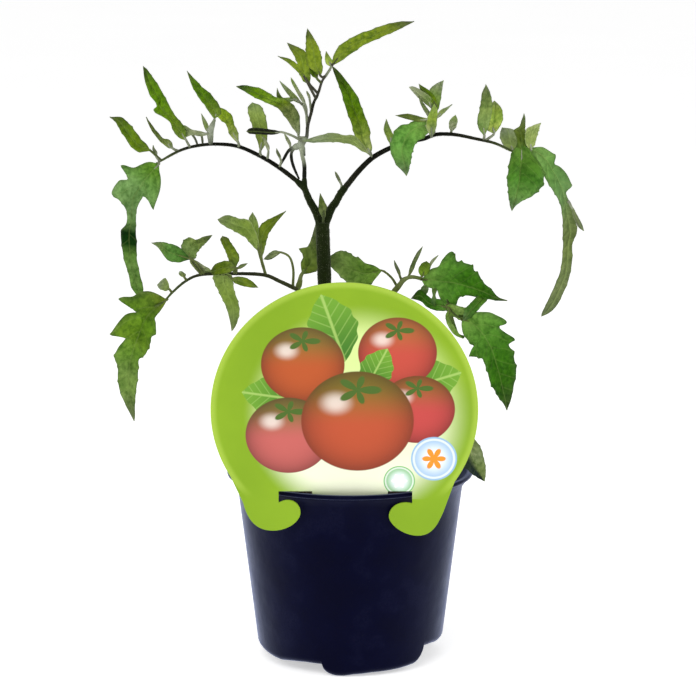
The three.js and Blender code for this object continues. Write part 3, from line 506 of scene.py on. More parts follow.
# %% Peat: its finish
PEAT, tree, shader = new_material("peat", Specular_IOR_Level=0.3)
grain = mottle(tree, 700, detail=8)
brown = blend(tree, mottle(tree, 90), colour(18, 12, 8), colour(44, 31, 20))
feed(tree, shader, Base_Color=blend(tree, grain.ramp(0.62, 0.95) * 0.5, brown, colour(104, 78, 50)),
     Roughness=mottle(tree, 200, 0.75, 1.0),
     Normal=relief(tree, grain + mottle(tree, 2200, detail=4) * 0.4, 0.8))
print("peat made")

# %% Peat: its shape
SOIL_TOP, SOIL_LIMIT, CLEAR, TOP_CLEAR = 70.0, 71.6, 0.3, 0.4
CROWN, WAVE_HEIGHT, WALL_DIP, DIP_FROM = 0.7, 0.75, 1.4, 43.5
seeded = np.random.default_rng(7)


def uneven(x, y, waves=60, finest=2.2, roughest=16.0):
    """A sum of waves in random directions. The short waves are low and the long ones high."""
    length = np.geomspace(finest, roughest, waves)
    heading, phase = seeded.uniform(0, 2 * np.pi, (2, waves))
    across = x[..., None] * np.cos(heading) + y[..., None] * np.sin(heading)
    return (np.sin(2 * np.pi * across / length + phase) * length).sum(-1) / length.sum() * 4


inset = WALL + CLEAR
ball_r, ball_z = base_outline(floor, inset)
side_height = (floor + FOOT_CORNER) * (1 - rise) + (SOIL_TOP - 2) * rise
reach = np.linspace(1, 0.02, 56)[:, None] * level
top_r = reach * (wall_radius(SOIL_TOP) - inset - TOP_CLEAR)
dome = CROWN * (1 - reach**2) - WALL_DIP * within(top_r, (DIP_FROM, 60), 3)
top_z = SOIL_TOP + dome + WAVE_HEIGHT * uneven(top_r * np.sin(around_pot), -top_r * np.cos(around_pot))
radius = np.vstack([ball_r, wall_radius(side_height) - inset, top_r])
height = np.vstack([ball_z, side_height, np.minimum(top_z, SOIL_LIMIT)])
points, faces = round_body(radius, height, around_pot)
print("peat ball of", len(points), "points")

# %% Peat: its crumbs
CRUMBS, CRUMB_REACH, CRUMB_LIMIT = 420, 43, 71.45
STEM_X, STEM_CLEAR = -11, 5


def ball_of_32():
    """The 18 points and 32 faces of an eight-sided solid whose sides are halved once, all at a radius of 1."""
    corners = np.array([[1, 0, 0], [0, 1, 0], [-1, 0, 0], [0, -1, 0], [0, 0, 1], [0, 0, -1]], float)
    sides = np.array([(i, (i + 1) % 4, 4) for i in range(4)] + [((i + 1) % 4, i, 5) for i in range(4)])
    edges = np.sort(np.vstack([sides[:, [0, 1]], sides[:, [1, 2]], sides[:, [2, 0]]]), axis=1)
    kinds, which = np.unique(edges, axis=0, return_inverse=True)
    halves = unit(corners[kinds].sum(1))
    p, q, r = which.reshape(3, 8) + 6
    a, b, c = sides.T
    small = np.vstack([np.column_stack(t) for t in ((a, p, r), (p, b, q), (r, q, c), (p, q, r))])
    return np.vstack([corners, halves]), small


def scatter(shape, faces, places, sizes, start, wobble=0.25):
    """One copy of a small shape at each place, at its size, pushed out of shape and turned at random."""
    axes = unit(seeded.normal(size=(len(places), 3, 3)))
    first = axes[:, 0]
    second = unit(np.cross(first, axes[:, 1]))
    turn = np.stack([first, second, np.cross(first, second)], axis=1)
    dented = shape * (1 + wobble * seeded.normal(size=(len(places), len(shape), 1)))
    placed = np.einsum("nij,nkj->nki", turn, dented * sizes[:, None, :]) + places[:, None, :]
    copies = start + faces[None] + len(shape) * np.arange(len(places))[:, None, None]
    return placed.reshape(-1, 3), copies.reshape(-1, faces.shape[1])


spot_r, spot_b = CRUMB_REACH * np.sqrt(seeded.uniform(0, 1, CRUMBS)), seeded.uniform(0, 2 * np.pi, CRUMBS)
spots = np.column_stack([spot_r * np.sin(spot_b), -spot_r * np.cos(spot_b), np.full(CRUMBS, SOIL_TOP + 0.3)])
spots = spots[np.hypot(spots[:, 0] - STEM_X, spots[:, 1]) > STEM_CLEAR]
shape, shape_faces = ball_of_32()
sizes = seeded.uniform(0.35, 1.0, (len(spots), 1)) * seeded.uniform(0.6, 1.2, (len(spots), 3))
crumbs, crumb_faces = scatter(shape, shape_faces, spots, sizes, len(points))
crumbs[:, 2] = np.minimum(crumbs[:, 2], CRUMB_LIMIT)
soil = build_piece("peat_ball", np.vstack([points, crumbs]), faces + [crumb_faces], [PEAT], sharp_degrees=70)
settle(soil, "soil")

# %% [markdown]
# The tag is cut from printed plastic sheet. Its outline is one round arc that runs down into two hooks, and
# between them a tab slips inside the rim. The outline is the solid's own: an arc and a few Bezier curves.
# A flat face on it and a small bevel round its edge are all the form that a cut sheet has.

# %% Tag: its outline
TAG_RADIUS, TAG_THICKNESS, TAG_X, TAG_Y = 54.0, 0.7, -2.3, 35.2
TAG_LEAN, TAG_SET_BACK, EDGE_ROUNDING = math.radians(7), 46.5, 0.15


def bezier(*corners, steps=12):
    """The points of a cubic curve after its first: each corner weighs (1-t)^3, 3t(1-t)^2, 3t^2(1-t), t^3."""
    t = np.linspace(0, 1, steps + 1)[1:, None]
    weights = (1 - t) ** 3, 3 * t * (1 - t) ** 2, 3 * t**2 * (1 - t), t**3
    return sum(weight * np.array(corner, float) for weight, corner in zip(weights, corners))


sweep = np.radians(np.linspace(-34, 211, 150))
outline = np.vstack([
    [(25.3, 1), (25.3, -4.2)],
    bezier((25.3, -4.2), (20.5, -2.8), (16.4, -5.2), (15.8, -9.2)),
    bezier((15.8, -9.2), (15.4, -13.4), (22, -18.3), (27.6, -18.3)),
    bezier((27.6, -18.3), (33, -18.3), (35.4, -14.8), (38.2, -7.5)),
    np.column_stack([TAG_X + TAG_RADIUS * np.cos(sweep), TAG_Y + TAG_RADIUS * np.sin(sweep)]),
    [(-43.6, -4)],
    bezier((-43.6, -4), (-41.8, -11.6), (-38.4, -16.1), (-31.4, -16.1)),
    bezier((-31.4, -16.1), (-25.4, -16.1), (-20.2, -12), (-20.2, -8.2)),
    bezier((-20.2, -8.2), (-20.2, -3.6), (-24.6, -1.2), (-29.1, -3.9)),
    [(-29.1, 1), (-15.4, 1), (-15.4, 0), (-14.2, -1.8), (-9.5, -4)],
    [(9.5, -4), (14.2, -1.8), (15.4, 0), (15.4, 1)],
])


def on_tag(sheet, forward):
    """Where a point of the flat sheet, and a distance in front of it, lies on the leaning tag."""
    x, up = sheet.T
    y = -TAG_SET_BACK - up * math.sin(TAG_LEAN) - forward * math.cos(TAG_LEAN)
    z = RIM_TOP + up * math.cos(TAG_LEAN) - forward * math.sin(TAG_LEAN)
    return np.column_stack([x, y, z])


print("tag outline of", len(outline), "points")

# %% [markdown]
# The print is worked out in the shader, so it stays sharp from any distance. Each motif is a small group
# that gives a mask and a colour at a point of the sheet: a smooth round fruit with a green star at its stalk,
# a pointed leaf, and a plain round badge. The motifs are laid over a cream field and a yellow-green border
# one after the other, as sheets of cut paper would be.

# %% Tag: the printed motifs
def distance(x, y):
    """The distance of a point from zero."""
    return (x * x + y * y).math("SQRT")


def new_motif(name, **inputs):
    """A motif's group, its inputs and output node, and the point's place from the motif's centre."""
    sheet = dict.fromkeys(("Sheet X", "Sheet Y", "Centre X", "Centre Y"), 0.0)
    tree, given, result = new_group(name, {**sheet, **inputs}, ["Color", "Mask"])
    return tree, given, result, given["Sheet X"] - given["Centre X"], given["Sheet Y"] - given["Centre Y"]


FRUIT, given, result, x, y = new_motif(
    "printed_fruit", Radius=10.0, Skin=(1, 0, 0, 1), Shoulder=(0.2, 0.2, 0, 1))
x, y = x / given["Radius"], y / (given["Radius"] * 0.93)
away = distance(x, y)
skin = blend(FRUIT, y.ramp(-0.15, 0.85), given["Skin"], given["Shoulder"])
shaded = blend(FRUIT, away.math("POWER", 3.5) * 0.62, skin, colour(60, 14, 8))
gleam = distance((x + 0.38) * 0.8, y - 0.36).ramp(0.3, 0.04) * 0.62
lit = blend(FRUIT, gleam, shaded, (1, 0.93, 0.85, 1))
star_y = y - 0.62
point_out = (star_y.math("ARCTAN2", x) * 2.5).math("COSINE").size().math("POWER", 1.6) * 0.36 + 0.07
star = (distance(x, star_y * 1.5) / point_out).ramp(1.05, 0.9)
feed(FRUIT, result, Color=blend(FRUIT, star, lit, colour(72, 104, 30)), Mask=away.ramp(1.0, 0.975))

LEAF_MOTIF, given, result, x, y = new_motif("printed_leaf", Turn=0.0, Length=20.0)
cosine, sine = given["Turn"].math("COSINE"), given["Turn"].math("SINE")
along = (x * cosine + y * sine) / given["Length"]
across = ((y * cosine - x * sine) / given["Length"]).size()
edge = (along * (along * -1 + 1) * 1.35) * ((along * 30).math("SINE") * 0.05 + 1)
side_rib = ((along * 7 - across * 6).math("FRACT") - 0.5).size().ramp(0.12, 0.03)
ribs = across.ramp(0.03, 0.008).math("MAXIMUM", side_rib * 0.45) * 0.7
flesh = blend(LEAF_MOTIF, along.ramp(0, 1), colour(58, 118, 28), colour(112, 164, 44))
feed(LEAF_MOTIF, result, Color=blend(LEAF_MOTIF, ribs, flesh, colour(176, 208, 110)),
     Mask=(edge - across).ramp(0, 0.012))

BADGE, given, result, x, y = new_motif(
    "printed_badge", Radius=8.0, Field=(0.5, 0.7, 1, 1), Petal=(1, 1, 1, 1))
x, y = x / given["Radius"], y / given["Radius"]
away = distance(x, y)
ring = (away - 0.86).size().ramp(0.07, 0.03)
petals = (y.math("ARCTAN2", x) * 3).math("COSINE").size() * 0.34 + 0.16
plain = blend(BADGE, away.ramp(0.2, 1.0), (0.9, 0.95, 1, 1), given["Field"])
ringed = blend(BADGE, ring * 0.8, plain, (0.86, 0.9, 0.84, 1))
feed(BADGE, result, Color=blend(BADGE, (away / petals).ramp(1.08, 0.94), ringed, given["Petal"]),
     Mask=away.ramp(1.0, 0.965))
print("fruit, leaf and badge motifs made")

# %% Tag: the print and the plain back
TAG_PRINT, tree, shader = new_material("tag_print", Roughness=0.38, Specular_IOR_Level=0.25)
place = add_node(tree, "ShaderNodeSeparateXYZ", Vector=object_place(tree))
sheet_x = Field(tree, place.outputs["X"]) / MM
sheet_y = (Field(tree, place.outputs["Z"]) / MM - RIM_TOP) / math.cos(TAG_LEAN)
from_middle = distance(sheet_x - TAG_X, sheet_y - TAG_Y)
border_inner = (sheet_x * 0.12 - sheet_y * 0.02) + 40.5
to_border = ((from_middle - border_inner) / 9).ramp(-1.0, 0.75)
below = sheet_y.ramp(5.5, -2.5)
green = blend(tree, mottle(tree, 25), colour(127, 164, 14), colour(137, 174, 22))
# Painted highlight: a lighter band along the outer edge of the round border, where light would catch the
# rounded edge. It fades out low down, towards the hooks.
edge_highlight = from_middle.ramp(50.8, 53.2) * from_middle.ramp(54.6, 54.0) * (below * -0.45 + 0.45)
highlit_green = blend(tree, edge_highlight, green, colour(186, 214, 84))
cream = blend(tree, sheet_y.ramp(0, 60), colour(246, 250, 222), colour(214, 234, 150))
hook = sheet_y.ramp(-1.2, -2.6)
wing = (sheet_x + 2).size().ramp(24, 33) * below
picture = blend(tree, to_border.math("MAXIMUM", hook).math("MAXIMUM", wing), cream, highlit_green)
motifs = [
    (LEAF_MOTIF, -2, 56, dict(Turn=1.9, Length=30)),
    (LEAF_MOTIF, -20, 40, dict(Turn=3.0, Length=24)),
    (LEAF_MOTIF, 20, 44, dict(Turn=0.3, Length=26)),
    (FRUIT, -19, 55, dict(Radius=17.0, Skin=colour(186, 84, 34), Shoulder=colour(128, 112, 40))),
    (FRUIT, 19, 60, dict(Radius=16.0, Skin=colour(196, 74, 58), Shoulder=colour(176, 104, 48))),
    (LEAF_MOTIF, 6, 44, dict(Turn=1.1, Length=20)),
    (FRUIT, 27, 36, dict(Radius=15.5, Skin=colour(196, 70, 66), Shoulder=colour(152, 96, 36))),
    (FRUIT, -25, 25, dict(Radius=17.5, Skin=colour(198, 98, 92), Shoulder=colour(120, 108, 44))),
    (FRUIT, 3, 31, dict(Radius=23.0, Skin=colour(190, 80, 44), Shoulder=colour(124, 110, 28))),
    (BADGE, 34, 15, dict(Radius=9.5, Field=colour(150, 190, 226), Petal=colour(236, 150, 40))),
    (BADGE, 20, 5.5, dict(Radius=6.5, Field=colour(120, 190, 110), Petal=colour(250, 252, 244))),
]
for group, centre_x, centre_y, values in motifs:
    drawn = place_group(
        tree, group, Sheet_X=sheet_x, Sheet_Y=sheet_y, Centre_X=centre_x, Centre_Y=centre_y, **values)
    picture = blend(tree, drawn["Mask"], picture, drawn["Color"])
feed(tree, shader, Base_Color=picture, Normal=relief(tree, mottle(tree, 18) + mottle(tree, 1800) * 0.01, 0.5))

TAG_BACK, tree, shader = new_material("tag_back", Roughness=0.45)
feed(tree, shader, Base_Color=blend(tree, mottle(tree, 30), colour(232, 240, 206), colour(240, 244, 222)),
     Normal=relief(tree, mottle(tree, 18), 0.5))
print(len(motifs), "motifs on the print")

# %% Tag: its shape
count = len(outline)
points = np.vstack([on_tag(outline, TAG_THICKNESS / 2), on_tag(outline, -TAG_THICKNESS / 2)])
ring = np.arange(count)
sides = np.column_stack([ring, np.roll(ring, -1), np.roll(ring, -1) + count, ring + count])
anticlockwise = np.cross(outline, np.roll(outline, -1, axis=0)).sum() > 0
front, back = (ring, ring[::-1] + count) if anticlockwise else (ring[::-1], ring + count)
sides = sides[:, ::-1] if anticlockwise else sides
face_material = np.array([0, 1] + [0] * count)
tag = build_piece(
    "round_picture_tag", points, [front[None], back[None], sides], [TAG_PRINT, TAG_BACK], face_material, 50)
edge_round = tag.modifiers.new("rounded_edge", "BEVEL")
edge_round.width, edge_round.segments, edge_round.limit_method = EDGE_ROUNDING * MM, 2, "ANGLE"
settle(tag, "picture_tag")

# %% [markdown]
# Stems come next. A stem is a ring of points carried along a smooth path. The ring's directions come from
# the path's own direction and one fixed line, the Y axis, which no stem here runs along, so the rings never
# twist. Young tomato stems bristle with short hairs, so each stem gets some: thin three-sided spikes, made
# all at once.

# %% Stems: tubes and hairs
HAIR_TONE, HAIR_FOOT, HAIR_SPREAD, HAIR_SINK = np.array([0.34, 0.37, 0.24]), 0.035, 0.35, 0.96


def tube_rings(path, radii, per_span, sides):
    """The middle line, the radius and the directions of travel and of each ring's points, for a tube along
    a smooth path. The radii are spread evenly over its length."""
    line = smooth_through(path, per_span)
    share = lengths_along(line) / lengths_along(line)[-1]
    radius = np.interp(share, np.linspace(0, 1, len(radii)), radii)
    ahead = unit(np.gradient(line, axis=0))
    side = unit(np.cross(ahead, [0.0, 1.0, 0.0]))
    up = np.cross(side, ahead)
    turn = np.linspace(0, 2 * np.pi, sides, endpoint=False)[None, :, None]
    outward = np.cos(turn) * side[:, None] + np.sin(turn) * up[:, None]
    return line, radius, ahead, outward


def hairs_on(line, radius, ahead, outward, how_many, longest):
    """Spikes that stand out from a tube, leaning a little along it: three foot points and a tip for each."""
    ring = seeded.integers(1, len(line) - 1, how_many)
    spoke = seeded.integers(0, outward.shape[1], how_many)
    out = unit(outward[ring, spoke] + HAIR_SPREAD * seeded.normal(size=(how_many, 3)))
    foot = line[ring] + outward[ring, spoke] * radius[ring, None] * HAIR_SINK
    foot = foot + ahead[ring] * seeded.uniform(-0.5, 0.5, (how_many, 1)) * np.linalg.norm(line[1] - line[0])
    length = longest * seeded.uniform(0.35, 1, (how_many, 1))
    first = unit(np.cross(out, ahead[ring]))
    second = np.cross(out, first)
    turn = np.radians([0, 120, 240])[None, :, None]
    feet = foot[:, None] + HAIR_FOOT * (np.cos(turn) * first[:, None] + np.sin(turn) * second[:, None])
    points = np.concatenate([feet, (foot + out * length)[:, None]], axis=1).reshape(-1, 3)
    corners = np.array([[0, 1, 3], [1, 2, 3], [2, 0, 3], [0, 2, 1]])
    return points, (corners[None] + 4 * np.arange(how_many)[:, None, None]).reshape(-1, 3)


def shades_along(share, stops):
    """The colour at each share of a length, between colours that are spaced evenly along it."""
    places = np.linspace(0, 1, len(stops))
    return np.stack([np.interp(share, places, channel) for channel in np.array(stops, float).T], axis=-1)


print("tubes and hairs can be made")

# %% [markdown]
# A leafy stem is one mesh: its rib, its leaflets, their stalks and all the hairs. It grows by adding parts
# to a list, so that thousands of small meshes never have to be joined in Blender, which is slow. Each part
# brings its colours and its place in the pattern of veins as attributes of its points.

# %% Stems: a growth of many parts
LUMP_HEIGHT, LUMP_PITCH, FOOT_CAP, TIP_CAP = 0.035, 1.9, 0.1, 0.25


class Growth:
    """One leafy stem as it grows: points, faces, the material of each face, and for each point a colour, a
    place in the pattern of veins, and whether it is on an underside."""

    def __init__(self):
        self.points, self.faces, self.finish = [], [], []
        self.tone, self.veins, self.under = [], [], []
        self.count = 0

    def add(self, points, faces, finish, tone, veins=(0, 0), under=0.0):
        """One more part. Its finish is a material's number: 0 for leaf, 1 for stem and 2 for hair."""
        many = len(points)
        self.points.append(points)
        self.faces += [part + self.count for part in faces]
        self.finish += [finish] * sum(len(part) for part in faces)
        self.tone.append(np.broadcast_to(tone, (many, 3)))
        self.veins.append(np.broadcast_to(veins, (many, 2)))
        self.under.append(np.broadcast_to(under, many))
        self.count += many

    def stem(self, path, radii, tone, per_span=5, sides=12, hairs=0, longest=1.0):
        """A round stem, with its ends shut, and hairs on it."""
        line, radius, ahead, outward = tube_rings(path, radii, per_span, sides)
        lumps = 1 + LUMP_HEIGHT * np.sin(lengths_along(line) * LUMP_PITCH + len(line))
        rings = line[:, None] + outward * (radius * lumps)[:, None, None]
        caps = line[:1] - ahead[:1] * FOOT_CAP, line[-1:] + ahead[-1:] * TIP_CAP
        points = np.vstack([rings.reshape(-1, 3), *caps])
        many = len(line) * sides
        first, last = np.arange(sides), np.arange(sides) + many - sides
        shut = [fan_faces(many, first[::-1]), fan_faces(many + 1, last)]
        share = np.repeat(lengths_along(line) / lengths_along(line)[-1], sides)
        share = np.concatenate([share, [0, 1]])
        self.add(points, [grid_faces(len(line), sides, wrap=True), *shut], 1, shades_along(share, tone))
        if hairs:
            spikes, spike_faces = hairs_on(line, radius, ahead, outward, hairs, longest)
            self.add(spikes, [spike_faces], 2, (np.mean(tone, axis=0) + HAIR_TONE) / 2)

    def finish_as(self, name, node):
        """The mesh of all the parts, with its colours, underside mask and vein map, in place of its node."""
        materials = [LEAF, STEM, HAIR]
        piece = build_piece(name, np.vstack(self.points), self.faces, materials, self.finish, sharp_degrees=55)
        mesh = piece.data
        tone = mesh.attributes.new("tone", "FLOAT_COLOR", "POINT")
        rgba = np.ones((self.count, 4), np.float32)
        rgba[:, :3] = np.vstack(self.tone)
        tone.data.foreach_set("color", rgba.ravel())
        side = mesh.attributes.new("underside", "FLOAT", "POINT")
        side.data.foreach_set("value", np.concatenate(self.under).astype(np.float32))
        corner = np.zeros(len(mesh.loops), np.int32)
        mesh.loops.foreach_get("vertex_index", corner)
        vein_map = mesh.uv_layers.new(name="vein_map")
        vein_map.uv.foreach_set("vector", np.vstack(self.veins)[corner].astype(np.float32).ravel())
        settle(piece, node)


print("stems can be made")

# %% [markdown]
# A leaflet is a sheet between two edges with a rib between them. Points read from the front give both edges
# and the rib, row by row from base to tip. Smooth curves through them give many rows, and straight lines
# across give the columns. A side vein leaves the rib at about fifty degrees, so a point at distance d from
# the rib belongs to the vein that left the rib 0.84 d further down. That distance, counted in veins, is the
# first number of the vein map; the distance from the rib is the second.

# %% Leaflets: the rows and columns of a blade
BLADE_FOLD, HALF_THICKNESS = 0.25, 0.17
VEIN_SLANT, VEIN_WIDTH, VEIN_STAGGER, VEIN_SPACING, VEINS_A_SIDE = 0.84, 0.13, 0.4, (2.2, 6.0), 7


def leaflet(kind, base, tip, turn, stalk, a, b, rib=None):
    """One leaflet's measures as arrays. The stalk is x, y and z of each of its points in turn, and the edges
    and the rib are x and z of theirs. Without a stalk of its own it starts at the base, and without a rib
    of its own the rib is midway between the edges."""
    a, b = np.reshape(a, (-1, 2)).astype(float), np.reshape(b, (-1, 2)).astype(float)
    rib = (a + b) / 2 if rib is None else np.reshape(rib, (-1, 2))
    stalk = np.reshape(stalk or base, (-1, 3)).astype(float)
    base, tip = np.array(base, float), np.array(tip, float)
    return dict(kind=kind, base=base, tip=tip, turn=turn, stalk=stalk, a=a, b=b, rib=rib)


def blade_lines(leaf):
    """Edge a, the rib and edge b from base to tip. The depth runs evenly from base to tip, the leaflet turns
    about its rib by its turn, and the rib lies back by a share of the half width."""
    a, b, rib, base, tip = (leaf[key] for key in ("a", "b", "rib", "base", "tip"))
    depth = base[1] + (tip[1] - base[1]) * np.arange(1, len(a) + 1) / (len(a) + 1)
    half_a, half_b = np.linalg.norm(a - rib, axis=1), np.linalg.norm(b - rib, axis=1)
    slope = math.tan(math.radians(leaf["turn"]))
    rows = (
        (a, depth - half_a * slope),
        (rib, depth + BLADE_FOLD * (half_a + half_b) / 2),
        (b, depth + half_b * slope),
    )
    return [np.vstack([base, np.column_stack([xz[:, 0], y, xz[:, 1]]), tip]) for xz, y in rows]


class Blade:
    """A leaflet as a grid. Its rows run from base to tip, and its columns from edge a, where v is -1, over
    the rib, where v is 0, to edge b, where v is 1. The gap is v without its sign. A big leaflet has more
    columns, and fewer rows between two of its points."""

    def __init__(self, leaf):
        self.kind, self.under, self.big = leaf["kind"], leaf["kind"] in UNDERSIDES, len(leaf["a"]) > 3
        self.start = np.abs(leaf["base"]).sum()
        self.edge_a, self.rib, self.edge_b = (
            smooth_through(line, 6 if self.big else 8) for line in blade_lines(leaf))
        self.along = lengths_along(self.rib)[:, None]
        self.share = self.along / self.along[-1]
        self.half = 8 if self.big else 5
        self.v = np.linspace(-1, 1, 2 * self.half + 1)[None, :]
        self.gap = np.abs(self.v)
        half_widths = (np.linalg.norm(edge - self.rib, axis=1)[:, None] for edge in (self.edge_a, self.edge_b))
        self.width = np.where(self.v < 0, *half_widths)
        self.from_rib = self.gap * self.width
        self.spacing = np.clip(self.along[-1, 0] / VEINS_A_SIDE, *VEIN_SPACING)
        stagger = np.where(self.v > 0, VEIN_STAGGER, 0.0)
        self.phase = (self.along - VEIN_SLANT * self.from_rib) / self.spacing + stagger
        self.on_vein = np.exp(-((((self.phase + 0.5) % 1) - 0.5) / VEIN_WIDTH) ** 2)
        self.ends = np.sin(np.pi * self.share) ** 0.4

    def directions(self):
        """For each row, the unit vectors across the blade and out of its front, evened out between rows."""
        across = unit(np.vstack([np.zeros(3), (self.edge_b - self.edge_a)[1:-1], np.zeros(3)]))
        across[0], across[-1] = across[1], across[-2]
        facing = unit(np.cross(np.gradient(self.rib, axis=0), across))
        facing = facing * np.where(facing[:, 1:2] > 0, -1, 1)
        before, after = np.roll(facing, 1, 0), np.roll(facing, -1, 0)
        before[0] = after[-1] = 0
        return across[:, None], unit(facing + before + after)[:, None]


print("blades have rows and columns")

# %% [markdown]
# A flat sheet would look like paper. The skin is puffed between the side veins, each half bulges, the
# margins roll back and wave, and teeth stand out where side veins reach the edge. All of it is one height
# over the grid, so the sheet is lifted once along its own facing. A blade is closed and thin: the sheet is
# moved to both sides by half the thickness, the veins stand out below, and a rim joins the two.

# %% Leaflets: relief and thickness
TOOTH, SMALL_TOOTH, LEAST_WIDTH = 0.11, 0.05, 0.06
PUFF, BULGE, ROLL, WAVE, WAVE_LENGTH = 0.085, 0.09, 0.10, 0.05, 1.7
RIDGE, RIDGE_WIDTH, RIDGE_FADING, LONG_RIDGE, SIDE_RIDGE = 0.42, 0.5, 0.8, 30, 0.07
EDGE_THINNING, MARGIN_FROM, MARGIN_WIDTH, MARGIN_BLEND = 0.55, 0.8, 0.2, 0.5


def lifted_sheet(blade, across, facing):
    """The middle sheet: straight lines from the rib to the edges, lifted by the sum of its forms."""
    v, gap, width, ends = blade.v, blade.gap, blade.width, blade.ends
    tooth = TOOTH if blade.big else SMALL_TOOTH
    reach = 1 + tooth * ends * gap**3 * (blade.on_vein - 0.45)
    edge = np.where(v[..., None] < 0, blade.edge_a[:, None], blade.edge_b[:, None])
    rib = blade.rib[:, None]
    sheet = rib + (edge - rib) * (gap * reach)[..., None]
    sheet = sheet + across * (v * LEAST_WIDTH)[..., None]
    puff = PUFF * blade.spacing * (0.5 - blade.on_vein) * np.sin(np.pi * gap**0.8) * ends
    bulge = BULGE * width * np.sin(np.pi * gap)
    roll = -ROLL * width * gap**4
    swing = 2 * np.pi * (blade.along / (blade.spacing * WAVE_LENGTH) + blade.start) + np.sign(v) * 0.8
    lift = (-1 if blade.under else 1) * (puff + bulge) + roll + WAVE * width * gap**2 * np.sin(swing)
    return sheet + facing * lift[..., None]


def front_and_back(blade, sheet, facing):
    """The two skins, half the thickness out along the sheet's own normal. The veins stand out below."""
    gap = blade.gap
    normal = unit(np.cross(np.gradient(sheet, axis=0), np.gradient(sheet, axis=1)))
    normal = normal * np.where((normal * facing).sum(-1, keepdims=True) < 0, -1, 1)
    thin = HALF_THICKNESS * (1 - EDGE_THINNING * gap**4) * np.ones_like(blade.along)
    ridge_size = RIDGE * min(1.0, blade.along[-1, 0] / LONG_RIDGE) * (1 - RIDGE_FADING * blade.share)
    ridge = ridge_size * np.exp(-(blade.from_rib / RIDGE_WIDTH) ** 2)
    ridge = ridge + SIDE_RIDGE * blade.on_vein * np.sin(np.pi * gap) * blade.ends
    over, beneath = (thin + ridge, thin) if blade.under else (thin, thin + ridge)
    return sheet + normal * over[..., None], sheet - normal * beneath[..., None]


def shell_faces(rows, columns, flip):
    """The faces of both skins and of the rim between them, with the front first, facing outwards."""
    many = rows * columns
    faces = grid_faces(rows, columns)
    index = np.arange(many).reshape(rows, columns)
    loop = np.concatenate([index[0], index[1:, -1], index[-1, -2::-1], index[-2:0:-1, 0]])
    after = np.roll(loop, -1)
    rim = np.column_stack([loop, after, after + many, loop + many])
    if flip:
        return [faces, faces[:, ::-1] + many, rim[:, ::-1]]
    return [faces[:, ::-1], faces + many, rim]


def blade_shades(blade):
    """The colours of the kind from base to tip, darker colours painted over edge b's half as a shadow for a
    kind that has them, and half way to the edge's colour in the outer fifth."""
    share = blade.share[:, 0]
    shade = shades_along(share, TONES[blade.kind])[:, None]
    # Painted shadow: edge b's half takes the darker colours, as if a shadow fell across that half.
    if blade.kind in SHADED_HALF:
        beyond = np.clip(blade.v * 3, 0, 1)[..., None]
        shade = shade + (shades_along(share, SHADED_HALF[blade.kind])[:, None] - shade) * beyond
    margin = np.clip((blade.gap - MARGIN_FROM) / MARGIN_WIDTH, 0, 1)
    edge_tone = np.array(PALE_EDGE if blade.kind in PALE_EDGED else DARK_EDGE)
    return (shade + (edge_tone - shade) * (MARGIN_BLEND * margin)[..., None]).reshape(-1, 3)


def grow_leaflet(growth, leaf):
    """A closed thin blade with veins in relief, in the colours of its kind."""
    blade = Blade(leaf)
    across, facing = blade.directions()
    front, back = front_and_back(blade, lifted_sheet(blade, across, facing), facing)
    rows, columns = blade.phase.shape
    down, over = front[1, blade.half] - front[0, blade.half], front[1, blade.half + 1] - front[1, blade.half]
    faces = shell_faces(rows, columns, np.dot(np.cross(down, over), facing[1, 0]) < 0)
    veins = np.stack([blade.phase, blade.from_rib * np.sign(blade.v)], axis=-1).reshape(-1, 2)
    sides = np.repeat([1.0, 0.0] if blade.under else [0.0, 1.0], rows * columns)
    growth.add(np.vstack([front.reshape(-1, 3), back.reshape(-1, 3)]), faces, 0,
               np.tile(blade_shades(blade), (2, 1)), np.tile(veins, (2, 1)), sides)


print("leaflets can be made")

# %% [markdown]
# Living leaf is never one green. Each leaflet brings its own colours as an attribute, because on this plant
# the young ones are yellow-green, the hanging ones bluer, and the undersides grey. The shader adds pale veins
# from the vein map, a fine net between them, mottling, and painted shade that darkens along the sunk net and
# leaves the puffed cells lighter. Veins are sunk on the upper side and stand out below, so the relief turns
# over with the side.

# %% Leaflets: the pattern of veins
VEINS, given, result = new_group(
    "leaf_veins", {"Along": 0.0, "From Rib": 0.0, "Net": 600.0}, ["Rib", "Side Veins", "Net", "Pillow"])
to_vein = ((given["Along"] + 0.5).math("FRACT") - 0.5).size()
cells = add_node(VEINS, "ShaderNodeTexVoronoi", {"feature": "DISTANCE_TO_EDGE"},
                 Vector=object_place(VEINS), Scale=given["Net"])
from_net = Field(VEINS, cells.outputs["Distance"])
feed(VEINS, result, Rib=given["From Rib"].size().ramp(0.5, 0.12), Side_Veins=to_vein.ramp(0.085, 0.02),
     Net=from_net.ramp(0.12, 0.0), Pillow=from_net.ramp(0.0, 0.45))
print("vein group made")

# %% Leaflets, stems and hairs: their finishes
def own_tone(tree):
    """The colour that each point brings with it."""
    return add_node(tree, "ShaderNodeAttribute", {"attribute_name": "tone"}).outputs["Color"]


def times(tree, tone, red, green, blue):
    """A colour with its red, green and blue each multiplied."""
    return blend(tree, 1.0, tone, (red, green, blue, 1), "MULTIPLY")


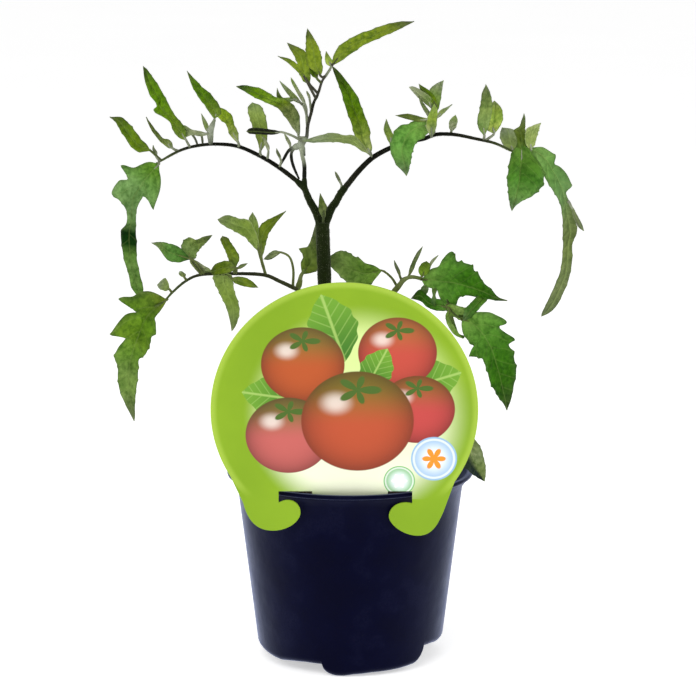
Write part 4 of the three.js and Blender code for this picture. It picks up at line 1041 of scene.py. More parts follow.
LEAF, tree, shader = new_material("leaf_skin", Specular_IOR_Level=0.06)
tone = own_tone(tree)
under = Field(tree, add_node(tree, "ShaderNodeAttribute", {"attribute_name": "underside"}).outputs["Fac"])
vein_map = add_node(tree, "ShaderNodeUVMap", {"uv_map": "vein_map"}).outputs["UV"]
parts = add_node(tree, "ShaderNodeSeparateXYZ", Vector=vein_map).outputs
found = place_group(tree, VEINS, Along=parts["X"], From_Rib=parts["Y"], Net=430.0)
rib_mask, side_mask, net_mask, pillow = (
    Field(tree, found[name]) for name in ("Rib", "Side Veins", "Net", "Pillow"))
patches, pits = mottle(tree, 170, detail=4), mottle(tree, 520)
# Painted shade: the darkening is full along the sunk net and weaker in the middle of each puffed cell, as
# shade would lie in the net's creases.
depth = (patches * 0.45 + pits * (under * -0.2 + 0.5)) * (pillow * -0.4 + 1)
shaded = blend(tree, depth, times(tree, tone, 1.42, 1.36, 1.3), times(tree, tone, 0.36, 0.5, 0.26))
dusty = blend(tree, under * 0.12, shaded, colour(132, 144, 100))
pale = blend(tree, 0.4, dusty, colour(146, 168, 92))
lines = (rib_mask * 0.55).math("MAXIMUM", side_mask * 0.28)
sunk = (rib_mask * 0.9).math("MAXIMUM", side_mask * 0.7).math("MAXIMUM", net_mask * 0.45) - pillow * 0.5
turned_over = sunk * (under * 2 - 1)
feed(tree, shader, Base_Color=blend(tree, lines, dusty, pale),
     Roughness=mottle(tree, 300, 0.42, 0.62) + under * 0.15,
     Normal=relief(tree, turned_over + mottle(tree, 2600, detail=2) * 0.2, 0.18))

STEM, tree, shader = new_material(
    "stem_skin", Specular_IOR_Level=0.05, Sheen_Weight=0.2, Sheen_Roughness=0.3, Sheen_Tint=(0.8, 0.9, 0.6, 1))
tone, streak = own_tone(tree), mottle(tree, 420, detail=4)
feed(tree, shader, Base_Color=blend(tree, streak * 0.6, tone, times(tree, tone, 0.6, 0.58, 0.6)),
     Roughness=mottle(tree, 500, 0.5, 0.7), Normal=relief(tree, streak + mottle(tree, 3000) * 0.4, 0.15))

HAIR, tree, shader = new_material("stem_hair", Roughness=0.6, Specular_IOR_Level=0.1)
tone = own_tone(tree)
feed(tree, shader, Base_Color=blend(tree, mottle(tree, 900), tone, times(tree, tone, 1.3, 1.3, 1.3)))
print("leaf, stem and hair made")

# %% [markdown]
# The plant itself is a list of leaflets, read from the front, in millimetres. A kind names a leaflet's
# colours, spaced evenly from its base to its tip, as screen colours. A kind that shows its underside to the
# front is greyer and has veins that stand out. One kind has a painted shadow over one half. Stalks and bare
# twigs have colours of their own too.

# %% Colours of the leaf kinds
def tints(*screen_colours):
    """Screen colours of 0 to 255 as the colours that the attribute takes."""
    return [colour(*screen)[:3] for screen in screen_colours]


TONES = {
    "grass": ((104, 126, 50), (86, 112, 22), (80, 118, 2), (74, 110, 8), (50, 60, 28)),
    "olive": ((112, 126, 70), (104, 122, 46), (98, 118, 26), (88, 106, 22), (70, 78, 40)),
    "olive_deep": ((88, 108, 34), (88, 114, 12), (78, 106, 8), (74, 98, 8), (58, 66, 32)),
    "olive_small": ((122, 130, 96), (98, 112, 52), (86, 100, 42), (72, 84, 32), (60, 66, 42)),
    "young": ((110, 128, 50), (112, 132, 34), (114, 134, 30), (102, 118, 32), (60, 62, 56)),
    "grass_pale": ((150, 162, 104), (118, 138, 54), (90, 118, 10), (83, 120, 6), (68, 98, 8), (50, 58, 36)),
    "greying": ((110, 118, 80), (134, 152, 88), (118, 134, 82), (120, 134, 104), (118, 128, 108)),
    "oval": ((112, 124, 88), (96, 112, 40), (104, 124, 42), (124, 146, 68), (110, 128, 84)),
    "sage": ((124, 144, 80), (124, 148, 66), (120, 145, 56), (114, 136, 70), (98, 108, 80)),
    "pale": ((154, 170, 108), (142, 158, 88), (142, 158, 94), (152, 164, 118)),
    "pale_tip": ((110, 118, 90), (92, 100, 74), (84, 90, 78)),
    "cool": ((116, 148, 78), (100, 144, 62), (92, 142, 60), (88, 130, 60), (90, 104, 82)),
    "cool_dark": ((84, 120, 46), (72, 112, 34), (66, 114, 34), (90, 130, 62), (82, 98, 78)),
    "column": ((82, 122, 46), (80, 106, 40), (78, 96, 26), (88, 104, 50), (92, 100, 88)),
    "deep": ((120, 160, 76), (84, 134, 48), (60, 114, 20), (50, 98, 12), (48, 60, 34)),
    "dark_net": ((106, 140, 56), (100, 136, 52), (100, 132, 58), (112, 138, 72), (80, 92, 56)),
    "band": ((104, 138, 54), (130, 160, 80), (136, 168, 92), (110, 150, 54), (82, 120, 44)),
    "grass_light": ((158, 164, 118), (138, 150, 84), (130, 150, 44), (122, 148, 26), (94, 118, 24)),
    "round_leaf": ((110, 142, 52), (118, 152, 46), (104, 134, 40), (102, 128, 40), (90, 110, 50)),
    "dull_deep": ((116, 156, 84), (96, 124, 64), (102, 132, 80), (84, 122, 66), (40, 82, 22)),
    "worn": ((140, 164, 116), (124, 148, 104), (90, 116, 68), (76, 104, 46), (72, 98, 34)),
    "misty": ((84, 110, 52), (116, 140, 80), (114, 134, 70), (96, 112, 62), (86, 94, 74)),
    "dark_joint": ((30, 60, 14), (70, 112, 44), (92, 136, 64), (94, 120, 64), (86, 92, 76)),
    "behind_stem": ((110, 130, 46), (106, 128, 52), (104, 124, 58), (94, 106, 64), (100, 104, 88)),
    "sheath": ((116, 122, 100), (138, 144, 118), (144, 150, 122), (128, 146, 92), (98, 118, 50)),
    "fresh_stalk": ((140, 148, 124), (134, 148, 96), (126, 148, 56), (124, 148, 62), (130, 152, 84)),
    "silver": ((116, 142, 64), (120, 142, 76), (124, 136, 96), (134, 140, 118), (140, 144, 132)),
    "silver_tip": ((114, 134, 62), (82, 110, 18), (116, 142, 70), (126, 138, 104), (142, 148, 134)),
    "silver_dark": ((136, 142, 118), (110, 122, 84), (96, 108, 74), (78, 86, 70)),
    "fresh": ((148, 160, 100), (168, 186, 90), (150, 176, 76), (124, 144, 58), (112, 122, 84)),
    "fork": ((84, 94, 62), (112, 124, 78), (100, 116, 52), (98, 102, 86)),
    "folded": ((112, 128, 70), (130, 144, 96), (134, 148, 108), (132, 148, 92), (112, 124, 84)),
    "bicolour": ((122, 128, 108), (108, 118, 84), (112, 122, 76), (104, 114, 66), (84, 104, 14),
        (118, 148, 44), (96, 128, 16), (84, 118, 4), (60, 88, 20), (36, 48, 32)),
    "black": ((58, 60, 54), (26, 28, 24), (20, 22, 16), (28, 34, 12), (14, 16, 8)),
    "twig": ((118, 126, 104), (84, 90, 74), (96, 100, 88)),
    "pale_twig": ((140, 146, 124), (136, 142, 118), (124, 130, 108)),
    "hanging_left": ((90, 130, 44), (96, 138, 44), (104, 146, 72), (116, 154, 92), (112, 148, 88),
        (100, 132, 82), (102, 136, 78), (4, 44, 0), (10, 52, 2), (98, 136, 60), (108, 142, 74),
        (104, 138, 68), (96, 132, 60), (96, 132, 60)),
    "hanging_right": ((96, 140, 54), (106, 148, 74), (94, 142, 66), (88, 132, 70), (96, 130, 78),
        (104, 122, 72), (90, 104, 56), (92, 108, 56), (96, 110, 68), (100, 112, 72), (94, 106, 70),
        (80, 90, 68)),
    "drooping": ((98, 112, 34), (82, 110, 30), (84, 122, 26), (94, 126, 30), (96, 132, 46), (104, 132, 64),
        (108, 136, 66), (104, 122, 74), (92, 98, 80)),
}
TONES = {kind: tints(*stops) for kind, stops in TONES.items()}
UNDERSIDES = {"sage", "greying", "oval", "hanging_right", "pale", "pale_tip", "silver"}
PALE_EDGED = {"sage", "greying", "pale", "pale_tip", "twig", "silver", "sheath", "fresh_stalk"}
# Painted shadow: darker colours for edge b's half of a leaflet, standing for the shadow that the tag casts
# over it.
SHADED_HALF = {"folded": tints((60, 74, 40), (56, 72, 48), (48, 60, 52), (40, 52, 54), (30, 40, 44))}
DARK_EDGE, PALE_EDGE = tints((62, 72, 52), (140, 150, 120))
print(len(TONES), "kinds of leaf")

# %% Colours of the stalks, ribs and twigs
PALE_STALKS = tints((120, 126, 104), (158, 166, 140))
OLIVE_STALKS = tints((88, 98, 54), (112, 124, 70))
RIB_TONES = tints((34, 36, 22), (14, 15, 8), (14, 15, 8), (14, 15, 8), (36, 38, 24), (96, 112, 62))
LOWER_RIBS = tints((62, 66, 34), (56, 60, 34), (44, 46, 30), (48, 52, 34), (84, 104, 50))
SHOOT_TONES = tints((24, 26, 20), (24, 26, 20), (24, 26, 20), (150, 158, 134), (150, 158, 134), (92, 96, 84),
    (66, 68, 58), (60, 60, 50), (32, 31, 20), (34, 35, 26), (58, 58, 48), (70, 68, 62), (68, 66, 58),
    (76, 84, 52))
TRUNK_TONES = tints((30, 40, 12), (22, 32, 6), (30, 40, 12))
OWN_STALKS = {
    "young": tints((66, 64, 56), (78, 80, 58)),
    "cool_dark": tints((64, 90, 36), (74, 116, 38)),
    "fork": tints((48, 56, 30), (84, 96, 58)),
    "fresh_stalk": tints((100, 106, 88), (134, 142, 116)),
    "olive_deep": tints((84, 92, 60), (90, 108, 50)),
}
# A twig has its radii from foot to tip, and its colours.
TWIGS = {
    "dark": ((0.4, 0.62, 0.68, 0.5), tints((44, 48, 38), (20, 22, 16), (30, 32, 26), (140, 148, 126))),
    "green": ((0.8, 0.7, 0.6, 0.6), tints((96, 116, 62), (66, 92, 30), (60, 84, 30))),
    "thick": ((1, 1.3, 1, 0.8, 0.7), tints((84, 96, 44), (98, 110, 54), (116, 128, 78), (122, 134, 82),
        (104, 128, 60))),
    "bare": ((0.4, 0.5, 0.5), tints((60, 64, 50), (92, 98, 78), (128, 136, 108))),
    "hub": ((0.7, 1.4, 1.3, 0.6), tints((60, 64, 54), (146, 154, 132), (158, 166, 146), (128, 138, 112))),
}
print(len(TWIGS), "kinds of twig and", len(OWN_STALKS), "kinds with a stalk of their own")

# %% Where the leafy stems leave the trunk
PAST_SWELLING = 1.8
# For each leafy stem: its start, the point it runs towards, its swelling's reach and that swelling's radius.
SOCKETS = {
    "upper_left": ([-19, 1, 199.5], [-25, 3, 204.5], 3.0, 1.4),
    "shoot": ([-19, 1, 199.5], [-19, 1, 205], 2.0, 1.2),
    "upper_right": ([-4, -0.7, 197.2], [1, -2, 203.7], 3.5, 1.45),
    "lower_left": ([-11, 0, 150], [-17.5, -4, 155.5], 4.2, 1.8),
    "lower_right": ([-11, 0, 130.5], [-2, 1, 138], 4.2, 1.8),
    "behind_tag": ([-11, 0, 96], [-1, -3, 104], 4.2, 1.6),
}


def leaf_root(name):
    """A leafy stem's first two points: on the trunk's middle line, and a little beyond the swelling."""
    start, towards, reach, _ = SOCKETS[name]
    start = np.array(start, float)
    return np.array([start, start + unit(np.array(towards) - start) * (reach + PAST_SWELLING)])


print(len(SOCKETS), "leafy stems on the trunk")

# %% [markdown]
# Every row of the next tables is one leaflet, in the order of the function leaflet above: its kind, base,
# tip, turn, stalk, edge a and edge b, and for a long curved one its rib. A leafy stem also has the points of
# its own rib beyond the swelling, its radii at both ends, and sometimes bare twigs.

# %% The leaflets at the upper left
UPPER_LEFT = dict(
    rib=(-29.5, 5, 207.4, -36.5, 7, 211.5, -46, 10, 215.5, -54.5, 12, 216.5, -63, 12, 216, -71, 11, 214,
         -79.5, 10, 209.5, -83, 9.5, 207.5),
    radii=(1.05, 0.55),
    leaflets=[
        ("olive_deep", (-83.5, 10, 214), (-99.5, 0, 229), 35, (-79, 11, 210), (-85, 217, -87.5, 220,
         -90.5, 224.5, -94.5, 228.5), (-86, 213.5, -90, 214, -94.5, 220.5, -97.5, 226.5)),
        ("olive_small", (-74, 12, 214.5), (-86, 22, 227), 55, (-72, 11, 213.5), (-75.5, 218, -78.5, 218.5,
         -82, 222), (-77, 214.5, -80.5, 217.5, -84, 222)),
        ("grass", (-68.5, 9, 218.5), (-85, -6, 250.5), 25, (-67, 12, 215), (-68.5, 223.5, -70.5, 226.5,
         -73, 230, -75.5, 235, -77.5, 239.5, -80.5, 244.5, -83, 248.5), (-71.5, 219.5, -74, 223, -75, 226.5,
         -81.5, 231, -80, 233.5, -82.5, 237.5, -84.5, 244)),
        ("greying", (-59.1, 10, 221.4), (-62.4, 16, 229), 20, (-58.9, 12, 216.6), (-58.9, 223.1, -60.2, 226),
         (-60.7, 222.8, -61.9, 226)),
        ("grass", (-56.5, 9, 227.5), (-67, -6, 248.5), 35, (-58, 12, 216.5, -58, 11, 223), (-53.5, 230.5,
         -56.5, 237, -60.5, 241, -63.5, 244.5), (-58, 229, -60, 232.5, -62.5, 236.5, -65, 241.5)),
        ("grass_light", (-46.4, 9, 216.7), (-56.5, 21, 231.5), 30, (-47, 10, 215.5), (-47, 222, -48.5, 224.5,
         -49.5, 228, -52.5, 230.5), (-50.5, 220.5, -52, 224.5, -54.5, 226, -57, 229)),
        ("oval", (-37.5, 7, 213.5), (-41, 17, 233.5), 20, (-36.5, 7, 212), (-35, 218, -34.5, 223,
         -35.5, 228.5, -37.5, 232.5), (-38.5, 217, -40.5, 222.5, -42.5, 228, -43, 231.5)),
        ("pale_twig", (-34, 5, 214), (-36.5, 1, 221), 40, (-34, 7, 211), (-33.5, 216, -35, 219.5), (-35, 216,
         -36, 219)),
        ("twig", (-28.7, 3, 210), (-30.4, -3, 216.2), 20, (-28.6, 5, 208.1), (-29.7, 212.3, -30.6, 214.4),
         (-28.8, 212.7, -29.7, 214.8)),
        ("hanging_left", (-79.9, 9, 208.5), (-87.9, 3, 152), 20, (), (-83.6, 209.3, -87.3, 208.1,
         -90.5, 207.2, -95, 208, -92.4, 202.8, -96.1, 201.9, -99.5, 197, -96.7, 194.1, -94.4, 191.3,
         -93.2, 188.4, -93.5, 184.2, -95.6, 180.9, -95.6, 175.9, -94.6, 169.2, -92.8, 162.9, -91.4, 157),
         (-79.8, 205.5, -79.2, 202.5, -79.2, 199, -80.2, 194.3, -81.9, 189, -84.3, 193.3, -86.5, 194.9,
         -88.1, 192.3, -89.2, 189.4, -89.5, 186.5, -89.6, 183.2, -89.5, 179.4, -89.3, 174.8, -89.2, 168.5,
         -87.9, 161.8, -86.7, 156.3), (-82, 206.5, -83.8, 204.4, -85.5, 202.5, -86.8, 200.8, -88, 198.7,
         -89.2, 197.1, -90.5, 195.1, -91.1, 192.7, -91.5, 190.3, -91.5, 187.4, -91.9, 183.6, -92.6, 179.8,
         -92.6, 175.2, -92, 168.5, -90.6, 162.2, -89, 156.8)),
        ("twig", (-81, 10, 211.3), (-82.5, 12, 216.1), 20, (-79.5, 10, 209.6), (-81.8, 212.7, -82.7, 214.3),
         (-80.7, 213.1, -81.8, 214.7)),
        ("sheath", (-58.9, 9.5, 220.8), (-72.6, 8, 222.8), 12, (-58.9, 12, 216.8), (-62.4, 222.2,
         -65.9, 222.9, -69.2, 224.7), (-62.5, 220.1, -66, 220.6, -69.1, 219.8)),
    ],
    twigs=[
        ("bare", (-63.8, 12, 216, -64.8, 11, 218.8, -66.2, 10, 221.1)),
        ("bare", (-61.7, 12, 216.3, -61.8, 11, 218.5, -62.1, 10, 220.7)),
        ("hub", (-58, 12, 216.3, -58.4, 11, 219.2, -58.2, 10, 222.6, -56.5, 9.5, 227.1)),
    ],
)
print(len(UPPER_LEFT["leaflets"]), "leaflets at the upper left")

# %% The leaflets at the upper right
UPPER_RIGHT = dict(
    rib=(3.5, -3, 206.8, 9, -5, 212.4, 15.5, -8, 216.5, 22.5, -9.5, 219.5, 30, -11, 221, 35.5, -12, 223,
         43, -13, 223, 51, -14, 221.5, 59.5, -14, 219.5, 67, -14, 216, 71, -14, 214),
    radii=(1.3, 0.55),
    leaflets=[
        ("grass_pale", (8.5, -5, 214.6), (-7.5, 9, 249.5), 15, (8.5, -5, 213), (9.1, 217, 8.1, 221,
         8.2, 224.2, 6.8, 227.5, 5, 232.3, 2.9, 237.4, -1.9, 244, -5, 247.5), (5.8, 215.6, 2.9, 218.1,
         1.5, 222.3, 0.3, 226.3, -1.8, 232.1, -3.9, 239.1, -5.5, 243.6, -6.7, 246.8)),
        ("greying", (8, -7, 214.5), (-19.5, -14, 220.5), 35, (9, -5, 213), (5.5, 218, 2, 222, -2, 222.5,
         -8, 223.5, -14.5, 222), (5, 215.5, 1, 218, -2.5, 219, -8, 219.5, -15, 219.5)),
        ("sage", (17, -8, 218), (15, -3, 228.5), 30, (17, -8, 216.5), (15.5, 220.5, 14, 224.5), (18, 221.5,
         16.5, 225)),
        ("cool", (33.4, -13, 226.7), (23, -22, 207), 15, (34.5, -11, 222.5), (30.6, 229, 26.9, 229.1,
         23.9, 227.8, 20.5, 227.3, 17.5, 223.2, 16.5, 218.2, 18.5, 212.1, 21, 209.5), (33, 224.3, 31.3, 222.7,
         29.3, 221.1, 27.5, 219.9, 26, 216.9, 25.5, 214.4, 24.5, 210.9, 24, 209), (30.7, 226.8, 28.2, 226.2,
         25.7, 225.3, 23.5, 223.4, 22, 220.4, 21, 216.4, 22, 211.9, 22.5, 209.5)),
        ("olive_small", (33.1, -14, 229.2), (18.5, -20, 231.5), 25, (34, -11, 222.5, 34, -12, 226),
         (28.8, 230.6, 23.5, 232), (28.8, 228.4, 23.5, 229.7)),
        ("silver_tip", (35, -12, 232), (38.5, -4, 244.5), 20, (34.5, -11, 222.5, 34.5, -12, 227.5),
         (32.5, 236.5, 32.5, 240.5, 35, 243), (36.5, 233.5, 37.5, 237.5, 38, 241.5)),
        ("silver", (34, -12, 233), (24, -20, 243), 25, (35, -12, 231.5), (33, 238, 29.5, 241, 26, 243),
         (31.5, 235, 28, 238, 25, 241.5)),
        ("olive_deep", (35.2, -13, 234.3), (28, -17, 244.1), 12, (), (35.2, 237.7, 32.8, 240.8, 30.3, 242.6),
         (33.2, 236.6, 30.8, 238.8, 28.8, 241.3)),
        ("silver_dark", (32.6, -12, 229.3), (28, -16, 238.9), 25, (34.5, -12, 227.5), (32.6, 232.1,
         30.4, 235.5), (30.8, 231.9, 28.9, 235.5)),
        ("greying", (35, -11, 229.2), (42.1, -5, 234.7), 25, (34.5, -12, 227.5), (37.1, 232.5, 39.7, 233.6),
         (37.1, 229.9, 39.6, 232.1)),
        ("sheath", (41.5, -12, 224), (43, -18, 231.5), 40, (41.5, -12, 222.5), (40.5, 226.5, 41, 229.5),
         (43.5, 226, 44, 229)),
        ("misty", (55, -14, 222.5), (55, -24, 244.5), 25, (54.5, -14, 221), (52.5, 226, 52, 230, 53, 235.5,
         53.5, 240.5), (56.5, 226, 57.5, 230, 58, 235.5, 57, 240.5)),
        ("fresh", (59, -13, 223.3), (59.3, -8, 236.5), 15, (55.5, -14, 220.5), (55.8, 225.5, 55.3, 229.1,
         56.6, 233.6), (61.2, 225.7, 62.9, 229.1, 62.2, 233.5)),
        ("greying", (66.5, -12, 216.2), (62.7, -4, 225), 30, (61.5, -14, 219), (63.8, 218.2, 62.1, 220.7,
         61.9, 223.5), (68.7, 217.4, 68.9, 220.9, 67.7, 224.4)),
        ("column", (69.9, -17, 213), (71.1, -14, 231.8), 20, (67, -14, 216), (68, 217.1, 68.2, 220.8,
         67.6, 223.6, 66.8, 225, 69.3, 226.6, 70, 228.8, 70.7, 230.4), (72.4, 217, 72.1, 220.6, 72, 223.5,
         71.8, 225.1, 71.7, 226.7, 71.7, 228.7, 71.6, 230.3)),
        ("pale", (73.7, -15, 216.5), (77.6, -22, 228.6), 25, (67, -14, 216), (71.7, 220, 71.5, 223.4,
         72, 225.8, 74.6, 227.5), (75.7, 219, 76.4, 222, 77.1, 224.6, 77.3, 226.8)),
        ("cool_dark", (70.1, -15.5, 219.2), (65.9, -26, 193.1), 15, (67, -14, 216), (67.6, 218.2, 65.9, 215.7,
         65.1, 212.5, 64.4, 209, 64.1, 205, 64.4, 201.4, 64.8, 197.8, 65.2, 195.1), (72.8, 218, 75.1, 215.4,
         77.9, 212.2, 79.9, 207.9, 79.8, 203.5, 75.6, 199.2, 70.6, 197, 67.6, 195.2), (70.1, 217.8, 70, 215.4,
         69.9, 212.2, 69.5, 208.6, 69.1, 204.6, 68.2, 200.9, 67.3, 197.7, 66.4, 195)),
        ("hanging_right", (70.5, -14, 217.2), (78.7, -22, 148.9), 15, (), (74.1, 213.6, 78.2, 209.6,
         79.9, 205.6, 81.9, 202.3, 83.8, 199.5, 85.2, 197, 86.5, 193.8, 87.1, 190.1, 87.3, 185.6, 87.3, 182,
         87.4, 177.5, 87, 171.3, 85.8, 165.6, 83.4, 159.9, 81, 154.5, 79.1, 150.8), (78.3, 218, 82.4, 216.2,
         84.4, 214.3, 84, 211.3, 88.4, 208.2, 91, 202.3, 88.6, 199.8, 90.6, 195.1, 92.3, 189.9, 93.3, 183.4,
         91.5, 179, 91.4, 172.8, 90.6, 166.2, 88.8, 160.5, 85.6, 153.9, 82.3, 150.5), (76.2, 215.9, 80, 213.1,
         82, 210.2, 83.7, 207.4, 85.7, 203.7, 87, 200.5, 88, 196.5, 88.8, 192, 89.9, 186.7, 90.3, 182.6,
         89.5, 178.1, 89.3, 172, 88.4, 165.8, 86.2, 160.1, 83.3, 154.1, 80.8, 150.7)),
        ("pale_tip", (89.9, -19, 195.5), (95.8, -21, 184.2), 15, (89.2, -19, 196.4), (90.7, 192.7,
         91.7, 189.5, 93.5, 185.9), (91.5, 193.5, 92.9, 190.9, 95, 187)),
        ("fresh_stalk", (33.3, -15.5, 221.9), (34.4, -14, 235.8), 12, (), (31.3, 226, 31.5, 229.6,
         32.8, 232.8), (35.2, 225.9, 35.6, 229.5, 35.8, 232.8)),
    ],
)
print(len(UPPER_RIGHT["leaflets"]), "leaflets at the upper right")

# %% The leaflets at the lower left
LOWER_LEFT = dict(
    rib=(-22, -8, 158, -29, -12, 162, -35.5, -14, 165, -47, -17, 166, -61, -20, 166, -67.5, -21, 163.5,
         -73, -23, 159, -76.5, -26, 155.5, -80, -27, 154),
    radii=(1, 0.5),
    leaflets=[
        ("dark_joint", (-65.4, -22, 172.8), (-80.5, -33, 181), 20, (-61, -20, 166, -65, -21, 171),
         (-69.5, 178, -73.5, 180, -77, 181), (-70.5, 171.5, -74.5, 173, -78, 178.5)),
        ("misty", (-66, -21, 173.3), (-56.8, -12, 181.4), 20, (-60.5, -20, 166, -63.5, -21, 171.5),
         (-68.9, 177.2, -68.3, 179.9, -65.9, 181.2, -63.4, 179.9, -60.4, 180.9), (-63.4, 172.5, -62.7, 174.5,
         -61.5, 176.1, -59.9, 177.8, -58.4, 179.3)),
        ("olive", (-48, -18, 167.5), (-52, -27, 183), 25, (-47.5, -17, 166), (-46.5, 170, -45.5, 174,
         -48.5, 179.5, -50, 182), (-49.5, 170, -50.5, 174, -52, 178, -53, 181)),
        ("olive", (-46.8, -20, 168.8), (-57.3, -23, 167.8), 20, (-47, -17, 166.1), (-49.2, 171.7,
         -52.9, 171.6, -55.6, 170.2), (-49.3, 166.9, -53, 166.3, -55.9, 166.1)),
        ("sage", (-52, -20, 167.1), (-49, -15, 141.5), 15, (-52.5, -18, 165.5), (-56.1, 165.7, -55.8, 162.5,
         -54.6, 159.7, -53, 156.1, -51, 151.6, -49.5, 145.5), (-48.6, 165.2, -48, 161.8, -47.4, 158.3,
         -46.1, 154.3, -45.5, 149.8, -47, 144.4)),
        ("olive", (-49, -18, 164.4), (-37.6, -24, 161.3), 20, (-50.5, -17, 165.5), (-45.6, 165.2,
         -42.3, 164.7, -39.8, 163.3), (-47.5, 162.4, -44.4, 161.4, -40.7, 161)),
        ("sage", (-37.5, -14, 174.5), (-54, -25, 189.5), 20, (-35, -14, 164.5, -36, -14, 169.5), (-38, 181,
         -41, 188, -46, 189.5, -50, 191), (-40.5, 177.5, -43.5, 181, -48, 184, -52.5, 187)),
        ("olive", (-36.5, -14, 171.9), (-26.5, -5, 190.5), 20, (-35, -14, 164.5, -36, -14, 169.5),
         (-39, 179.5, -37.5, 184.5, -34.5, 187, -30, 189), (-35, 176, -34, 180, -32.5, 183, -29.5, 187)),
        ("sage", (-38.5, -15, 178.5), (-40, -17, 191.5), 20, (-35, -14, 164.5, -36.5, -14, 170.5),
         (-41.5, 183.5, -41.5, 188.5), (-37.5, 183, -38, 187.5)),
        ("silver_dark", (-28.5, -11, 174), (-36, -3, 170), 25, (-23.5, -9, 159, -23.5, -10, 166.5,
         -25, -11, 172), (-31, 174.5, -33.5, 173), (-30.5, 172, -33.5, 170)),
        ("behind_stem", (-20, 1, 163), (-14.5, 9, 183), 15, (-22, -8, 158, -21.5, -2, 160), (-20.5, 167.5,
         -19.5, 170.5, -21, 173.5, -18, 174, -16.5, 176.5), (-15.7, 163.4, -12.8, 165, -11.5, 170, -12, 174,
         -12.5, 178.5)),
        ("greying", (-74, -24, 160.5), (-78.5, -32, 163.5), 30, (-73, -23, 159), (-74, 163.5, -75.5, 166),
         (-75.5, 160, -77.5, 161)),
        ("greying", (-68, -21, 165), (-70, -17, 167), 30, (-67, -21, 164), (-69.5, 165.5, -70.5, 166.5),
         (-67.5, 166, -69, 167)),
        ("drooping", (-74.9, -26, 156.6), (-88.5, -33, 107.1), 15, (), (-78.5, 158.7, -83.3, 160.3,
         -88.6, 158.3, -93.6, 157, -87, 154, -86.5, 152.4, -92.2, 151.1, -97.4, 143.2, -91.1, 142.6,
         -95.1, 137.3, -96.3, 133.4, -94.9, 129.7, -95.1, 125.6, -94.2, 119.8, -91.8, 113.7, -90, 110.2),
         (-76.8, 153.1, -78.7, 150.7, -79.9, 148.6, -79.3, 146.1, -79.2, 143.2, -81.2, 140.8, -81.4, 138.8,
         -82.4, 136.4, -83.5, 133.9, -86.3, 132.2, -86.5, 129.2, -86.7, 126.3, -87.1, 122.7, -87.8, 117.8,
         -88.2, 113.3, -88.2, 109.7), (-77.8, 155.1, -80.3, 152.6, -82.4, 150.6, -83.7, 148.9, -84.9, 146.9,
         -85.7, 144.9, -86.5, 142.9, -87.3, 140.4, -88.3, 138.1, -89.3, 134.9, -90.2, 131.6, -90.6, 128.4,
         -90.8, 124.3, -90.6, 119, -89.8, 113.3, -89, 110.1)),
        ("sheath", (-66.1, -20.5, 173.1), (-55.8, -18.5, 165.5), 10, (), (-63.1, 171.8, -60.3, 169.9,
         -57.4, 168), (-65, 170.3, -63.3, 168.1, -61.1, 166)),
        ("silver_dark", (-46.8, -19, 168.2), (-42, -21, 170.9), 20, (-47.8, -17.5, 166.3), (-45.4, 169.9,
         -43.8, 170.6), (-45.2, 168.4, -43.5, 169.4)),
    ],
    twigs=[
        ("thick", (-22, -8, 157.8, -21, -5, 160.3, -20.5, -1, 162.6, -19, 1, 164.8)),
    ],
)
print(len(LOWER_LEFT["leaflets"]), "leaflets at the lower left")

